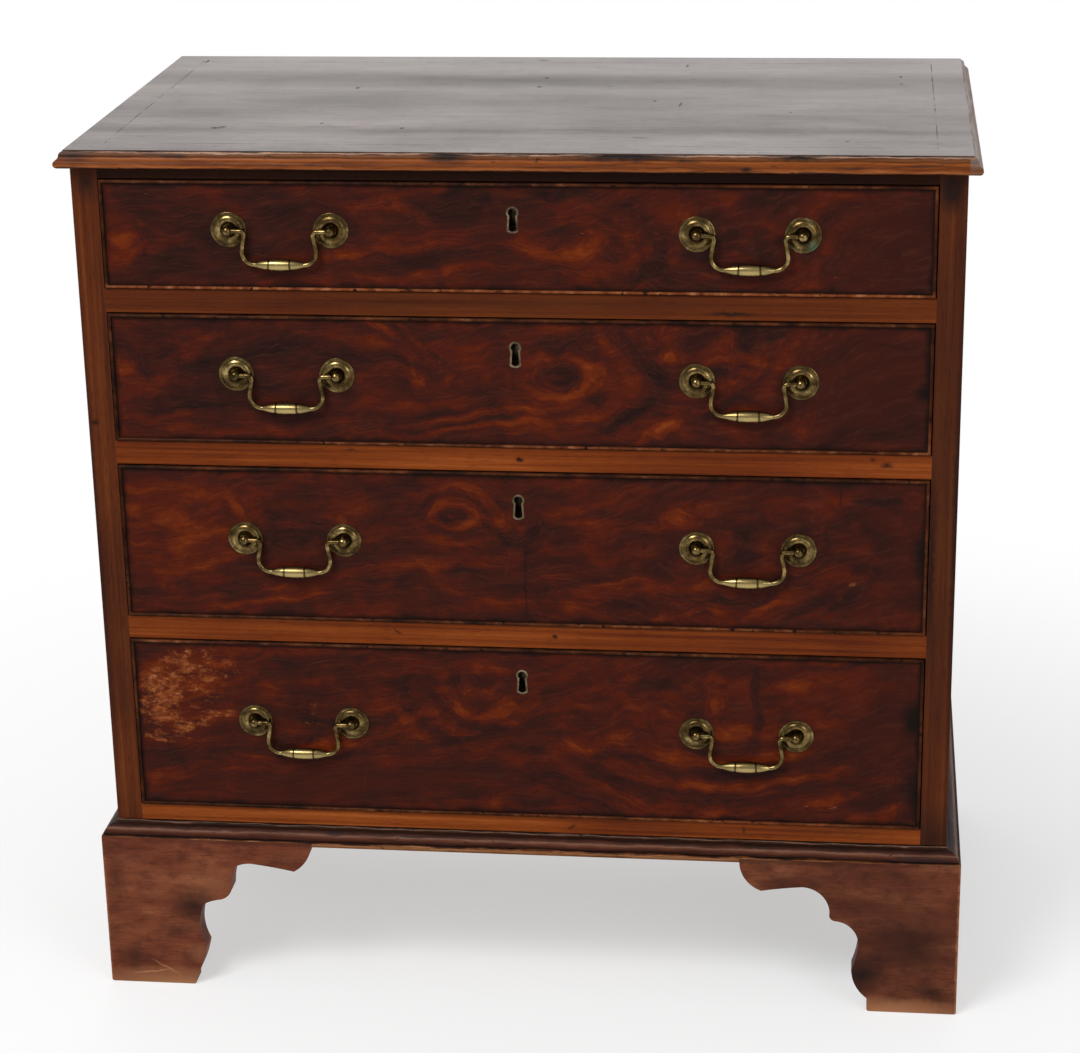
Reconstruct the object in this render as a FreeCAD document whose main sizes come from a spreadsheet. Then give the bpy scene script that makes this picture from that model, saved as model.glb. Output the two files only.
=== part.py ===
"""A bachelor's chest: four long graduated drawers with cock beads, swan-neck bails and locks, in a
case with a moulded top, a moulded base and four bracket feet.

X runs to the right, Y from the front to the back and Z up from the floor.  Every piece is drawn with
y = 0 on the case's front face; its node then carries it forward by FRONT_Y, which puts the origin
on the floor under the middle of the whole chest."""
import FreeCAD, Part
import os
import Sketcher

SIZES = {
    # case
    "case_width": (787, "outside width of the case"),
    "case_depth": (450, "front face of the case to its back"),
    "side_thickness": (24, "case sides and the stile facings on their front edges"),
    "facing_thickness": (5, "mahogany facing on the front edge of a side"),
    "housing_depth": (6, "rails, runners and bottom board let into the sides"),
    "back_thickness": (9, "back boards"),
    "back_setback": (1, "back boards in from the back edges of the sides"),
    "back_rebate": (12, "width of the rebate that holds the back boards"),
    "back_board_gap": (0.4, "open joint between two back boards"),
    "bottom_rail_height": (30, "lowest rail, its lower half behind the base moulding"),
    "bottom_board_thickness": (16, "bottom board of the case"),
    "rail_height": (21.5, "rails between the drawers"),
    "rail_depth": (60, "rails, front to back"),
    "top_rail_height": (10, "rail above the top drawer"),
    "runner_width": (30, "drawer runners, from the inner face of the side"),
    "dustboard_thickness": (6, "boards between the drawers"),
    "dustboard_groove": (8, "depth of their grooves in rails and runners"),
    "stop_width": (40, "drawer stop blocks, left to right"),
    "stop_depth": (28, "drawer stop blocks, front to back"),
    "stop_height": (5, "drawer stop blocks, above the rail"),
    "stop_inset": (70, "stile to drawer stop"),
    # drawer openings, from the top down
    "opening_1": (101, "height of the top opening"),
    "opening_2": (122, "height of the second opening"),
    "opening_3": (150, "height of the third opening"),
    "opening_4": (172, "height of the lowest opening"),
    # top
    "top_thickness": (15, "top board"),
    "veneer_thickness": (1, "veneer and cross-banding on the top"),
    "crossband_width": (30, "border of the top"),
    "top_overhang": (12, "nose of the top moulding beyond the case"),
    "top_nose_radius": (4.1, "rounded nose of the top moulding"),
    "top_cove_out": (2.6, "middle of the nose out to the foot of the cove above it"),
    "top_cove_depth": (0.5, "hollow of that cove"),
    "top_arris_inset": (8, "nose to the upper arris of the top"),
    "top_ovolo_width": (3.6, "rounded upper edge of the top moulding, out from the arris"),
    "top_ovolo_height": (4.3, "rounded upper edge of the top moulding, down from the veneer"),
    "top_ovolo_swell": (1.1, "how far that edge is rounded"),
    # base
    "foot_height": (154.5, "floor to the underside of the case"),
    "foot_floor_width": (84, "bracket foot where it stands on the floor"),
    "foot_reach": (205, "bracket foot along the base, from its corner"),
    "floor_wear": (2.5, "corners of a bracket worn round where it meets the floor"),
    "bracket_thickness": (20, "boards of the bracket feet"),
    "block_side": (38, "corner blocks behind the brackets"),
    "block_floor_gap": (3, "floor to the end of a corner block"),
    "base_projection": (14, "feet beyond the case"),
    "base_moulding_height": (14.5, "moulding round the foot of the case"),
    "base_fillet": (1.4, "upper fillet of the base moulding"),
    "base_cove_width": (2.2, "cove under that fillet, out from it"),
    "base_cove_height": (1.7, "cove under that fillet"),
    "base_cove_depth": (0.7, "hollow of that cove"),
    "base_ovolo_swell": (2, "how far the base moulding's ovolo is rounded"),
    "base_quirk": (1.4, "step in from the lowest bead to the ovolo"),
    "base_quirk_rise": (0.7, "upright between that step and the ovolo"),
    "base_bead_height": (2, "small bead under the base moulding's ovolo"),
    "base_bead_swell": (0.8, "how far that bead is rounded"),
    "base_setback": (0.8, "face of the feet to the base moulding's lowest bead"),
    "strip_height": (3, "strip under the base moulding between the feet"),
    "strip_width": (12, "strip under the base moulding, front to back"),
    # drawers
    "drawer_side_gap": (1, "drawer to stile, each side"),
    "drawer_top_gap": (1.2, "drawer front to the rail above"),
    "drawer_foot_gap": (0.8, "drawer front to the rail below"),
    "running_gap": (0.3, "drawer side to its runner"),
    "stop_gap": (0.3, "drawer front to its stop blocks"),
    "front_thickness": (20, "drawer fronts"),
    "drawer_back_space": (20, "back of a drawer to the back boards"),
    "lining_thickness": (10, "drawer sides"),
    "drawer_back_thickness": (12, "drawer backs"),
    "drawer_bottom_thickness": (7, "drawer bottoms"),
    "drawer_bottom_raise": (6.5, "foot of a drawer side to the drawer bottom"),
    "side_groove": (4, "drawer bottom let into the drawer sides"),
    "front_groove": (6, "drawer bottom let into the drawer front"),
    "side_drop": (4, "top of the drawer front to the top of the drawer side"),
    "back_drop": (5, "top of the drawer side to the top of the drawer back"),
    "bead_thickness": (3, "cock bead round the drawer front"),
    "bead_depth": (8, "cock bead let into the edge of the front"),
    "bead_projection": (2.5, "cock bead beyond the face of the front"),
    "tail_pitch": (34, "about one dovetail to this much height"),
    "tail_share": (0.62, "widest part of a tail as a share of its pitch"),
    "tail_flare": (2, "how much each flank of a tail opens along its length"),
    "dovetail_lap": (9, "wood of the front that hides the tails"),
    # handles
    "handle_centre": (207.5, "middle of the chest to the middle of a handle"),
    "handle_rise": (5, "middle of the opening to the posts"),
    "post_spacing": (92, "between the two posts of a handle"),
    "grip_gap": (0.7, "least gap between a hanging grip and the drawer front"),
    "ball_radius": (4.7, "ball head of a post"),
    "neck_radius": (2.8, "post between rose and ball"),
    "neck_length": (0.5, "least length of that neck"),
    "shank_radius": (2.5, "threaded end of a post"),
    "shank_clearance": (0.1, "round the shank in the drawer front"),
    "shank_tail": (2, "shank beyond its nut"),
    "nut_side": (11, "square nut inside the drawer"),
    "nut_thickness": (4, "square nut inside the drawer"),
    "rose_radius": (15.9, "round back plate"),
    "rose_height": (2.6, "broad ring of the rose"),
    "bail_radius": (2.2, "arms of the bail and the pins at their ends"),
    "bail_clearance": (0.08, "round a bail's pin in its ball"),
    "pin_end_gap": (0.4, "end of a bail's pin to the bottom of its hole"),
    "pin_reach": (1, "middle of the ball to the end of the bail's pin"),
    "neck_half_width": (30.3, "middle of the bail to its narrowest place"),
    "foot_half_width": (35.6, "middle of the bail to the corner its arms aim at"),
    "elbow_radius": (3.4, "bend beside the post"),
    "belly_radius": (11.5, "bend into the grip"),
    "bail_drop": (30.2, "posts to the middle of the grip"),
    "grip_radius": (5.5, "thickest part of the grip"),
    "grip_half_length": (23.5, "middle of the grip to the end of its swelling"),
    "grip_burial": (0.7, "end of the swelling below the surface of the arm"),
    "grip_swell": (0.5, "how far the grip and its two leaves are rounded"),
    "grip_joint": (10, "middle of the grip to the groove round it"),
    "grip_groove": (0.5, "radius of that groove"),
    # keyholes and locks
    "keyhole_drop": (34.5, "top of the opening to the middle of the keyhole"),
    "keyhole_half_height": (10.4, "middle of the keyhole to its ends"),
    "keyhole_head_radius": (3.8, "round head of the keyhole"),
    "keyhole_waist": (2.6, "half width below the head"),
    "keyhole_foot": (3.5, "half width near the lower end"),
    "keyhole_sole": (2, "rounding of the lower end"),
    "escutcheon_wall": (1.7, "brass thread that lines the keyhole"),
    "escutcheon_depth": (6, "depth of the thread"),
    "lock_front": (9.5, "face of the drawer front to the lock"),
    "lock_width": (44, "case of the lock"),
    "lock_height": (43, "case of the lock, from the top of the drawer front"),
    "lock_metal": (1.6, "plates of the lock"),
    "selvedge_width": (60, "plate of the lock on the top edge of the drawer front"),
    "key_pin_radius": (1.5, "pin that a hollow key turns on"),
    "key_pin_gap": (1.5, "front of the lock to the end of its pin"),
    "bolt_width": (22, "bolt of the lock"),
    "bolt_thickness": (5, "bolt of the lock"),
    "bolt_height": (22, "bolt of the lock"),
    "bolt_inset": (2.5, "front of the lock to its bolt"),
    "bolt_clearance": (0.15, "round the bolt in the selvedge"),
    "mortise_depth": (8, "mortise that takes the bolt in the rail above"),
    "mortise_clearance": (0.8, "round the bolt in that mortise"),
}
BACK_BOARDS = 3
DRAWERS = 4
GROOVE_LEAN = 14  # degrees that the grooves round a grip lean, nearer together at the top
# A foot's inner outline from its tip down to the floor: how far out (0 at the floor width, 1 at the
# full reach), how high and the sagitta of the arc that follows, both as shares of the foot's height.
# A sagitta is positive where the wood is rounded and negative where it is hollow. The left front foot
# was sawn by hand to other curves than the right one.
FOOT_OUTLINE = (
    (1.0, 0.974, 0.0337),
    (0.831, 0.794, -0.0032),
    (0.512, 0.828, -0.0557),
    (0.302, 0.636, 0.0078),
    (0.252, 0.606, -0.0505),
    (0.079, 0.427, -0.0052),
    (0.124, 0.278, 0.0246),
    (0.0, 0.087, None),
)
LEFT_FOOT_OUTLINE = (
    (0.988, 0.977, 0.0233),
    (0.843, 0.809, -0.0032),
    (0.504, 0.852, -0.0078),
    (0.372, 0.828, -0.0065),
    (0.331, 0.667, 0.0142),
    (0.236, 0.597, -0.0052),
    (0.102, 0.563, -0.0104),
    (0.058, 0.395, -0.0065),
    (0.103, 0.265, 0.0104),
    (0.0, 0.045, None),
)
# The rose from its rim to its seat for the post: share of the radius, then height and sagitta as
# shares of the rose's height.
ROSE_OUTLINE = (
    (1.0, 0.25, 0.058),
    (0.88, 0.42, None),
    (0.86, 0.28, None),
    (0.79, 0.42, 0.462),
    (0.38, 0.58, None),
    (0.31, 0.34, None),
)


class Size:
    """A length with its value and its expression in the sheet, so that sums of sizes stay bound."""

    def __init__(self, value, text):
        self.value, self.text = float(value), text

    def __add__(self, other):
        other = as_size(other)
        return Size(self.value + other.value, f"({self.text} + {other.text})")

    def __sub__(self, other):
        other = as_size(other)
        return Size(self.value - other.value, f"({self.text} - {other.text})")

    def __mul__(self, other):
        other = as_size(other)
        return Size(self.value * other.value, f"({self.text} * {other.text})")

    def __truediv__(self, other):
        other = as_size(other)
        return Size(self.value / other.value, f"({self.text} / {other.text})")

    def __neg__(self):
        return Size(-self.value, f"(0 - {self.text})")

    def __rsub__(self, other):
        return as_size(other) - self

    __radd__, __rmul__ = __add__, __mul__


def as_size(value):
    return value if isinstance(value, Size) else Size(value, f"({value})")


def root(size):
    return Size(size.value ** 0.5, f"sqrt({size.text})")


def larger(a, b):
    return Size(max(a.value, b.value), f"max({a.text}; {b.text})")


doc = FreeCAD.newDocument("bachelors_chest")
sheet = doc.addObject("Spreadsheet::Sheet", "Sizes")
for row, (name, (value, note)) in enumerate(SIZES.items(), start=1):
    sheet.set(f"A{row}", name)
    sheet.set(f"B{row}", str(value))
    sheet.setAlias(f"B{row}", name)
    sheet.set(f"C{row}", note)
doc.recompute()


class Sheet:
    """Reads a size from the sheet by its alias: s.case_width."""

    def __getattr__(self, alias):
        return Size(getattr(sheet, alias), f"Sizes.{alias}")


s = Sheet()
HALF_CASE = s.case_width / 2
HALF_OPENING = HALF_CASE - s.side_thickness
BACK_FACE = s.case_depth - s.back_setback - s.back_thickness
DRAWER_DEPTH = BACK_FACE - s.drawer_back_space
ROSE_SEAT = s.rose_height * ROSE_OUTLINE[-1][1]
BALL_WAIST = root(s.ball_radius * s.ball_radius - s.neck_radius * s.neck_radius)
STANDOFF = larger(s.grip_radius + s.grip_gap, ROSE_SEAT + s.neck_length + BALL_WAIST)
HANDLE_FRONT = STANDOFF + larger(s.ball_radius, s.grip_radius)
FRONT_Y = (larger(s.base_projection, HANDLE_FRONT) - s.case_depth) / 2
nodes, cuts = {}, []


# ---------------------------------------------------------------- ways of making a piece

def bind(thing, prop, size):
    thing.setExpression(prop, as_size(size).text)


def block(name, x, y, z):
    """A board between two places along each axis."""
    box = doc.addObject("Part::Box", name)
    for axis, prop, (low, high) in zip("xyz", ("Length", "Width", "Height"), (x, y, z)):
        bind(box, f"Placement.Base.{axis}", low)
        bind(box, prop, as_size(high) - low)
    return box


def tapered(name, x, y, z_near, z_far):
    """A tail or pin: its height is z_near at the nearer y and z_far at the farther one."""
    wedge = doc.addObject("Part::Wedge", name)
    places = {"Xmin": x[0], "X2min": x[0], "Xmax": x[1], "X2max": x[1], "Ymin": y[0], "Ymax": y[1],
              "Zmin": z_near[0], "Zmax": z_near[1], "Z2min": z_far[0], "Z2max": z_far[1]}
    for prop, size in places.items():
        bind(wedge, prop, size)
    return wedge


def rod(name, radius, start, length, direction):
    """A round bar from start along a direction."""
    bar = doc.addObject("Part::Cylinder", name)
    bar.Placement.Rotation = FreeCAD.Rotation(FreeCAD.Vector(0, 0, 1), FreeCAD.Vector(*direction))
    bind(bar, "Radius", radius)
    bind(bar, "Height", length)
    for axis, place in zip("xyz", start):
        bind(bar, f"Placement.Base.{axis}", place)
    return bar


def joined(name, *pieces):
    whole = doc.addObject("Part::MultiFuse", name)
    whole.Shapes = list(pieces)
    whole.Refine = True
    return whole


def cut(name, base, *tools):
    """The base without its tools; the cut is compared with the base so that no tool misses."""
    tool = tools[0]
    if len(tools) > 1:
        tool = doc.addObject("Part::Compound", name + "_tools")
        tool.Links = list(tools)
    less = doc.addObject("Part::Cut", name)
    less.Base, less.Tool = base, tool
    cuts.append(less)
    return less


def mirrored(name, source, normal=(1, 0, 0), base=(0, 0, 0)):
    copy = doc.addObject("Part::Mirroring", name)
    copy.Source = source
    copy.Normal = FreeCAD.Vector(*normal)
    for axis, place in zip("xyz", base):
        bind(copy, f"Base.{axis}", place)
    return copy


def node(name, *pieces):
    """A sub-part: its pieces stay separate solids and move to the chest's own frame."""
    part = doc.addObject("Part::Compound", name)
    part.Links = list(pieces)
    bind(part, "Placement.Base.y", FRONT_Y)
    nodes[name] = part


def new_body(name, **place):
    body = doc.addObject("PartDesign::Body", name)
    for axis, size in place.items():
        bind(body, f"Placement.Base.{axis}", size)
    return body


def attached_sketch(body, name, plane):
    sketch = body.newObject("Sketcher::SketchObject", name)
    support = [f for f in body.Origin.OriginFeatures if f.Role == plane]
    sketch.AttachmentSupport = [(support[0], "")]
    sketch.MapMode = "FlatFace"
    return sketch


def constrain(sketch, kind, places, size):
    size = as_size(size)
    index = sketch.addConstraint(Sketcher.Constraint(kind, *places, size.value))
    bind(sketch, f"Constraints[{index}]", size)


def draw(sketch, outline, closed=True):
    """Draws corners joined by lines, or by an arc where a corner has a sagitta: the arc to the next
    corner bulges to the left of the way along the outline by that much, to the right if negative.
    Every corner and every arc's centre is bound to the sheet."""
    corners = [(as_size(u), as_size(v), as_size(sag) if sag else None) for u, v, sag in outline]
    spans = list(zip(corners, corners[1:] + corners[:1]))
    if not closed:
        spans.pop()
    begins, ends = [], []
    for (u, v, sag), (next_u, next_v, _) in spans:
        a = FreeCAD.Vector(u.value, v.value, 0)
        b = FreeCAD.Vector(next_u.value, next_v.value, 0)
        if sag is None:
            index = sketch.addGeometry(Part.LineSegment(a, b))
            start, end = 1, 2
        else:
            along = (b - a).normalize()
            crown = (a + b) / 2 + FreeCAD.Vector(-along.y, along.x, 0) * sag.value
            clockwise = sag.value > 0
            index = sketch.addGeometry(Part.Arc(b, crown, a) if clockwise else Part.Arc(a, crown, b))
            start, end = (2, 1) if clockwise else (1, 2)
            du, dv = next_u - u, next_v - v
            chord = root(du * du + dv * dv)
            centre = sag / 2 - chord * chord / (8 * sag)
            if abs(dv.value) > abs(du.value):
                constrain(sketch, "DistanceX", (index, 3), (u + next_u) / 2 - dv * centre / chord)
            else:
                constrain(sketch, "DistanceY", (index, 3), (v + next_v) / 2 + du * centre / chord)
        constrain(sketch, "DistanceX", (index, start), u)
        constrain(sketch, "DistanceY", (index, start), v)
        begins.append((index, start))
        ends.append((index, end))
    joints = zip(ends, begins[1:] + begins[:1]) if closed else zip(ends, begins[1:])
    for end, begin in joints:
        sketch.addConstraint(Sketcher.Constraint("Coincident", *end, *begin))
    if not closed:
        constrain(sketch, "DistanceX", ends[-1], corners[-1][0])
        constrain(sketch, "DistanceY", ends[-1], corners[-1][1])


def padded(name, plane, outline, length, reversed_pad=False, midplane=False, **place):
    """A body: one outline, padded square to its plane."""
    body = new_body(name, **place)
    sketch = attached_sketch(body, name + "_outline", plane)
    draw(sketch, outline)
    pad = body.newObject("PartDesign::Pad", name + "_pad")
    pad.Profile = sketch
    bind(pad, "Length", length)
    pad.Reversed, pad.Midplane = reversed_pad, midplane
    body.Tip = pad
    return body


def mitre(body, name, corners):
    """Cuts a body's end away over the whole height, over a triangle seen from above."""
    sketch = attached_sketch(body, name, "XY_Plane")
    draw(sketch, [(x, y, None) for x, y in corners])
    pocket = body.newObject("PartDesign::Pocket", name + "_cut")
    pocket.Profile = sketch
    pocket.Type, pocket.Reversed = "ThroughAll", True
    body.Tip = pocket


def turned(name, outline, **place):
    """A body: one outline of (radius, y), turned about the Y axis."""
    body = new_body(name, **place)
    sketch = attached_sketch(body, name + "_outline", "XY_Plane")
    draw(sketch, outline)
    turn = body.newObject("PartDesign::Revolution", name + "_turn")
    turn.Profile = sketch
    turn.ReferenceAxis = (sketch, ["V_Axis"])
    turn.Angle = 360
    body.Tip = turn
    return body


# ---------------------------------------------------------------- levels

def levels():
    """The low and high places of the four openings, from the top down, and the top of the case."""
    low = s.foot_height + s.bottom_rail_height
    found = []
    for number in range(DRAWERS, 0, -1):
        high = low + getattr(s, f"opening_{number}")
        found.insert(0, (low, high))
        low = high + s.rail_height
    return found, high + s.top_rail_height


OPENINGS, CASE_TOP = levels()


# ---------------------------------------------------------------- case

def case_sides():
    """Two sides with a facing on the front edge, housings for rails and runners and a back rebate."""
    outer, inner = HALF_CASE, HALF_OPENING
    for side, hand in (("right", 1), ("left", -1)):
        def across(low, high):
            return (low, high) if hand == 1 else (-high, -low)
        name = f"case_side_{side}"
        board = block(name + "_board", across(inner, outer), (s.facing_thickness, s.case_depth),
                      (s.foot_height, CASE_TOP))
        housings = [(s.foot_height, OPENINGS[-1][0]), (OPENINGS[0][1], CASE_TOP)]
        housings += [(below[1], above[0]) for above, below in zip(OPENINGS, OPENINGS[1:])]
        tools = [block(f"{name}_housing_{i}", across(inner, inner + s.housing_depth),
                       (s.facing_thickness, BACK_FACE), z) for i, z in enumerate(housings)]
        tools.append(block(name + "_rebate", across(inner, inner + s.back_rebate),
                           (BACK_FACE, s.case_depth), (s.foot_height, CASE_TOP)))
        node(name, cut(name + "_cut", board, *tools))
    facings = [block(f"facing_{hand}", across, (0, s.facing_thickness), (s.foot_height, CASE_TOP))
               for hand, across in (("right", (inner, outer)), ("left", (-outer, -inner)))]
    node("stile_facings", *facings)


def back_boards():
    """Upright boards side by side in the rebates of the sides."""
    half = HALF_OPENING + s.back_rebate
    pitch = (2 * half + s.back_board_gap) / BACK_BOARDS
    boards = []
    for i in range(BACK_BOARDS):
        low = pitch * i - half
        boards.append(block(f"back_board_{i + 1}", (low, low + pitch - s.back_board_gap),
                            (BACK_FACE, BACK_FACE + s.back_thickness),
                            (s.foot_height, CASE_TOP)))
    node("back_boards", *boards)


def bolt_place():
    """Where a lock's bolt lies, front to back."""
    front = s.lock_front + s.bolt_inset
    return front, front + s.bolt_thickness


def rail(name, z, mortised=True, grooved=True):
    """A rail between the stiles, housed in the sides, with a mortise below for the lock's bolt."""
    wood = joined(name + "_wood",
                  block(name + "_face", (-HALF_OPENING, HALF_OPENING), (0, s.rail_depth), z),
                  block(name + "_ends", (-HALF_OPENING - s.housing_depth, HALF_OPENING + s.housing_depth),
                        (s.facing_thickness, s.rail_depth), z))
    tools = []
    if mortised:
        half = s.bolt_width / 2 + s.mortise_clearance
        near, far = bolt_place()
        tools.append(block(name + "_mortise", (-half, half),
                           (near - s.mortise_clearance, far + s.mortise_clearance),
                           (z[0], z[0] + s.mortise_depth)))
    if grooved:
        tools.append(dustboard_space(name + "_groove", z))
    return cut(name + "_cut", wood, *tools) if tools else wood


def dustboard_space(name, z):
    """A dustboard, at mid height of its rail, from the groove in the rail to the back boards."""
    half = HALF_OPENING - s.runner_width + s.dustboard_groove
    low = (z[0] + z[1] - s.dustboard_thickness) / 2
    return block(name, (-half, half), (s.rail_depth - s.dustboard_groove, BACK_FACE),
                 (low, low + s.dustboard_thickness))


def runner(name, z, grooved=True):
    """A runner for the drawer above, behind a rail and housed in the right side."""
    wood = block(name + "_wood", (HALF_OPENING - s.runner_width, HALF_OPENING + s.housing_depth),
                 (s.rail_depth, BACK_FACE), z)
    return cut(name, wood, dustboard_space(name + "_groove", z)) if grooved else wood


def case_frame():
    """Rails, runners, dustboards and stops, from the bottom rail up to the frame under the top."""
    rails, runners, dustboards, stops = [], [], [], []
    for number, (above, below) in enumerate(zip(OPENINGS, OPENINGS[1:]), start=1):
        z = (below[1], above[0])
        rails.append(rail(f"rail_{number}", z))
        runners.append(runner(f"runner_{number}", z))
        dustboards.append(dustboard_space(f"dustboard_{number}", z))
    node("drawer_rails", *rails)
    base = (s.foot_height, OPENINGS[-1][0])
    node("bottom_rail", rail("bottom_rail_solid", base, mortised=False, grooved=False))
    floor = s.foot_height + s.bottom_board_thickness
    reach = HALF_OPENING + s.housing_depth
    node("bottom_board", block("bottom_board_solid", (-reach, reach), (s.rail_depth, BACK_FACE),
                               (s.foot_height, floor)))
    runners.append(runner("runner_4", (floor, base[1]), grooved=False))
    node("drawer_runners", *runners, *[mirrored(r.Name + "_left", r) for r in runners])
    node("dustboards", *dustboards)
    for number, (low, _) in enumerate(OPENINGS, start=1):
        near = s.front_thickness + s.stop_gap
        stop = block(f"stop_{number}", (HALF_OPENING - s.stop_inset - s.stop_width,
                                        HALF_OPENING - s.stop_inset),
                     (near, near + s.stop_depth), (low, low + s.stop_height))
        stops += [stop, mirrored(f"stop_{number}_left", stop)]
    node("drawer_stops", *stops)
    top = (OPENINGS[0][1], CASE_TOP)
    front = rail("top_rail_solid", top, grooved=False)
    back = block("top_back_rail", (-reach, reach), (BACK_FACE - s.rail_depth, BACK_FACE), top)
    kicker = block("kicker", (HALF_OPENING - s.runner_width, reach),
                   (s.rail_depth, BACK_FACE - s.rail_depth), top)
    node("top_frame", front, back, kicker, mirrored("kicker_left", kicker))


# ---------------------------------------------------------------- mouldings, top and feet

def mitred_frame(name, profile, projection):
    """Three lengths of a moulding round the front and the sides, mitred at the front corners. The
    profile holds (out from the case, height, sagitta); a positive sagitta is a rounded stretch."""
    section = [(-as_size(out), height, sag) for out, height, sag in profile]
    width = s.case_width + 2 * projection
    front = padded(name + "_front", "YZ_Plane", section, width, midplane=True)
    half = width / 2
    for tag, sign in (("right", 1), ("left", -1)):
        mitre(front, f"{name}_front_{tag}", [(sign * half, -projection),
                                            (sign * half, 0), (sign * HALF_CASE, 0)])
    shifted = [(out - HALF_CASE, height, sag) for out, height, sag in section]
    left = padded(name + "_left", "XZ_Plane", shifted, s.case_depth + projection,
                  reversed_pad=True, y=-projection)
    mitre(left, name + "_left_mitre", [(-half, 0), (-HALF_CASE, 0), (-HALF_CASE, projection)])
    return front, left, mirrored(name + "_right", left)


def top():
    """Board, veneer with a cross-banded border and a moulding on three edges."""
    board_top = CASE_TOP + s.top_thickness
    node("top_board", block("top_board_solid", (-HALF_CASE, HALF_CASE), (0, s.case_depth),
                            (CASE_TOP, board_top)))
    nose, arris = s.top_overhang, s.top_overhang - s.top_arris_inset
    radius, cove = s.top_nose_radius, s.top_cove_out
    throat = nose - radius
    rise = radius + root(radius * radius - cove * cove)
    profile = [(0, CASE_TOP, None),
               (throat, CASE_TOP, radius - root(radius * radius - (cove * cove + rise * rise) / 4)),
               (throat + cove, CASE_TOP + rise, -s.top_cove_depth),
               (arris + s.top_ovolo_width, board_top - s.top_ovolo_height, s.top_ovolo_swell),
               (arris, board_top, None),
               (0, board_top, None)]
    node("top_moulding", *mitred_frame("top_moulding", profile, nose))
    half, band = HALF_CASE + arris, s.crossband_width
    z = (board_top, board_top + s.veneer_thickness)
    middle_veneer = block("veneer_field", (band - half, half - band),
                          (band - arris, s.case_depth - band), z)
    thickness = s.veneer_thickness

    def strip(tag, corners):
        outline = [(x, y, None) for x, y in corners]
        return padded(f"crossband_{tag}", "XY_Plane", outline, thickness, z=board_top)
    front = strip("front", [(-half, -arris), (half, -arris), (half - band, band - arris),
                            (band - half, band - arris)])
    back = strip("back", [(band - half, s.case_depth - band), (half - band, s.case_depth - band),
                          (half, s.case_depth), (-half, s.case_depth)])
    right = strip("right", [(half, -arris), (half, s.case_depth),
                            (half - band, s.case_depth - band), (half - band, band - arris)])
    node("top_veneer", middle_veneer, front, back, right, mirrored("crossband_left", right))


def base():
    """Moulding round the foot of the case and a thin strip below it between the feet."""
    low, high = s.foot_height, s.foot_height + s.base_moulding_height
    out = s.base_projection - s.base_setback
    fillet, quirk = s.base_fillet, low + s.base_bead_height
    profile = [(0, low, None),
               (out, low, s.base_bead_swell),
               (out, quirk, None),
               (out - s.base_quirk, quirk, None),
               (out - s.base_quirk, quirk + s.base_quirk_rise, s.base_ovolo_swell),
               (fillet + s.base_cove_width, high - fillet - s.base_cove_height, -s.base_cove_depth),
               (fillet, high - fillet, None),
               (fillet, high, None),
               (0, high, None)]
    lengths = mitred_frame("base_moulding", profile, out)
    near, z = -s.base_projection, (low - s.strip_height, low)
    gap = HALF_CASE + s.base_projection - s.foot_reach
    front = block("base_strip_front", (-gap, gap), (near, near + s.strip_width), z)
    left = block("base_strip_left", (near - HALF_CASE, near - HALF_CASE + s.strip_width),
                 (near + s.foot_reach, s.case_depth - s.foot_reach), z)
    node("base_moulding", *lengths, front, left, mirrored("base_strip_right", left))


def bracket(name, outline, mitred=True):
    """A shaped board along the front at the left corner; x and y are counted from the corner."""
    floor, span, wear = s.foot_floor_width, s.foot_reach - s.foot_floor_width, s.floor_wear
    rounding = wear * (1 - 0.5 ** 0.5)
    board = [(wear, 0, rounding), (0, wear, None), (0, s.foot_height, None),
             (s.foot_reach, s.foot_height, None)]
    board += [(floor + span * out, s.foot_height * up, s.foot_height * sag if sag else None)
              for out, up, sag in outline]
    board += [(floor, wear, rounding), (floor - wear, 0, None)]
    body = padded(name, "XZ_Plane", board, s.bracket_thickness, reversed_pad=True,
                  x=-HALF_CASE - s.base_projection, y=-s.base_projection)
    if mitred:
        mitre(body, name + "_mitre", [(0, 0), (s.bracket_thickness, s.bracket_thickness),
                                      (0, s.bracket_thickness)])
    return body


def feet():
    """Two mitred brackets at each front corner, one and a plain board at each rear corner."""
    corner = (-HALF_CASE - s.base_projection, -s.base_projection, 0)
    depth = s.case_depth
    for hand, outline in (("left", LEFT_FOOT_OUTLINE), ("right", FOOT_OUTLINE)):
        front = bracket(f"bracket_{hand}", outline)
        pair = front, mirrored(f"bracket_{hand}_side", front, (1, -1, 0), corner)
        if hand == "right":
            pair = [mirrored(b.Name + "_placed", b) for b in pair]
        node(f"foot_front_{hand}", *pair)
    square = bracket("bracket_square", FOOT_OUTLINE, mitred=False)
    side = mirrored("bracket_square_side", square, (1, -1, 0), corner)
    rear = mirrored("bracket_rear", side, (0, 1, 0), (0, (depth - s.base_projection) / 2, 0))
    inner = s.bracket_thickness - s.base_projection
    board = block("bracket_back", (inner - HALF_CASE, inner - HALF_CASE + s.foot_floor_width),
                  (depth - s.bracket_thickness, depth), (0, s.foot_height))
    node("foot_rear_left", rear, board)
    node("foot_rear_right", *[mirrored(b.Name + "_right", b) for b in (rear, board)])
    x = (inner - HALF_CASE, inner - HALF_CASE + s.block_side)
    z = (s.block_floor_gap, s.foot_height)
    ends = (inner, inner + s.block_side), (depth - s.bracket_thickness - s.block_side,
                                           depth - s.bracket_thickness)
    blocks = [block(f"foot_block_{i}", x, y, z) for i, y in enumerate(ends)]
    node("foot_blocks", *blocks, *[mirrored(b.Name + "_right", b) for b in blocks])


# ---------------------------------------------------------------- drawers

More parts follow.
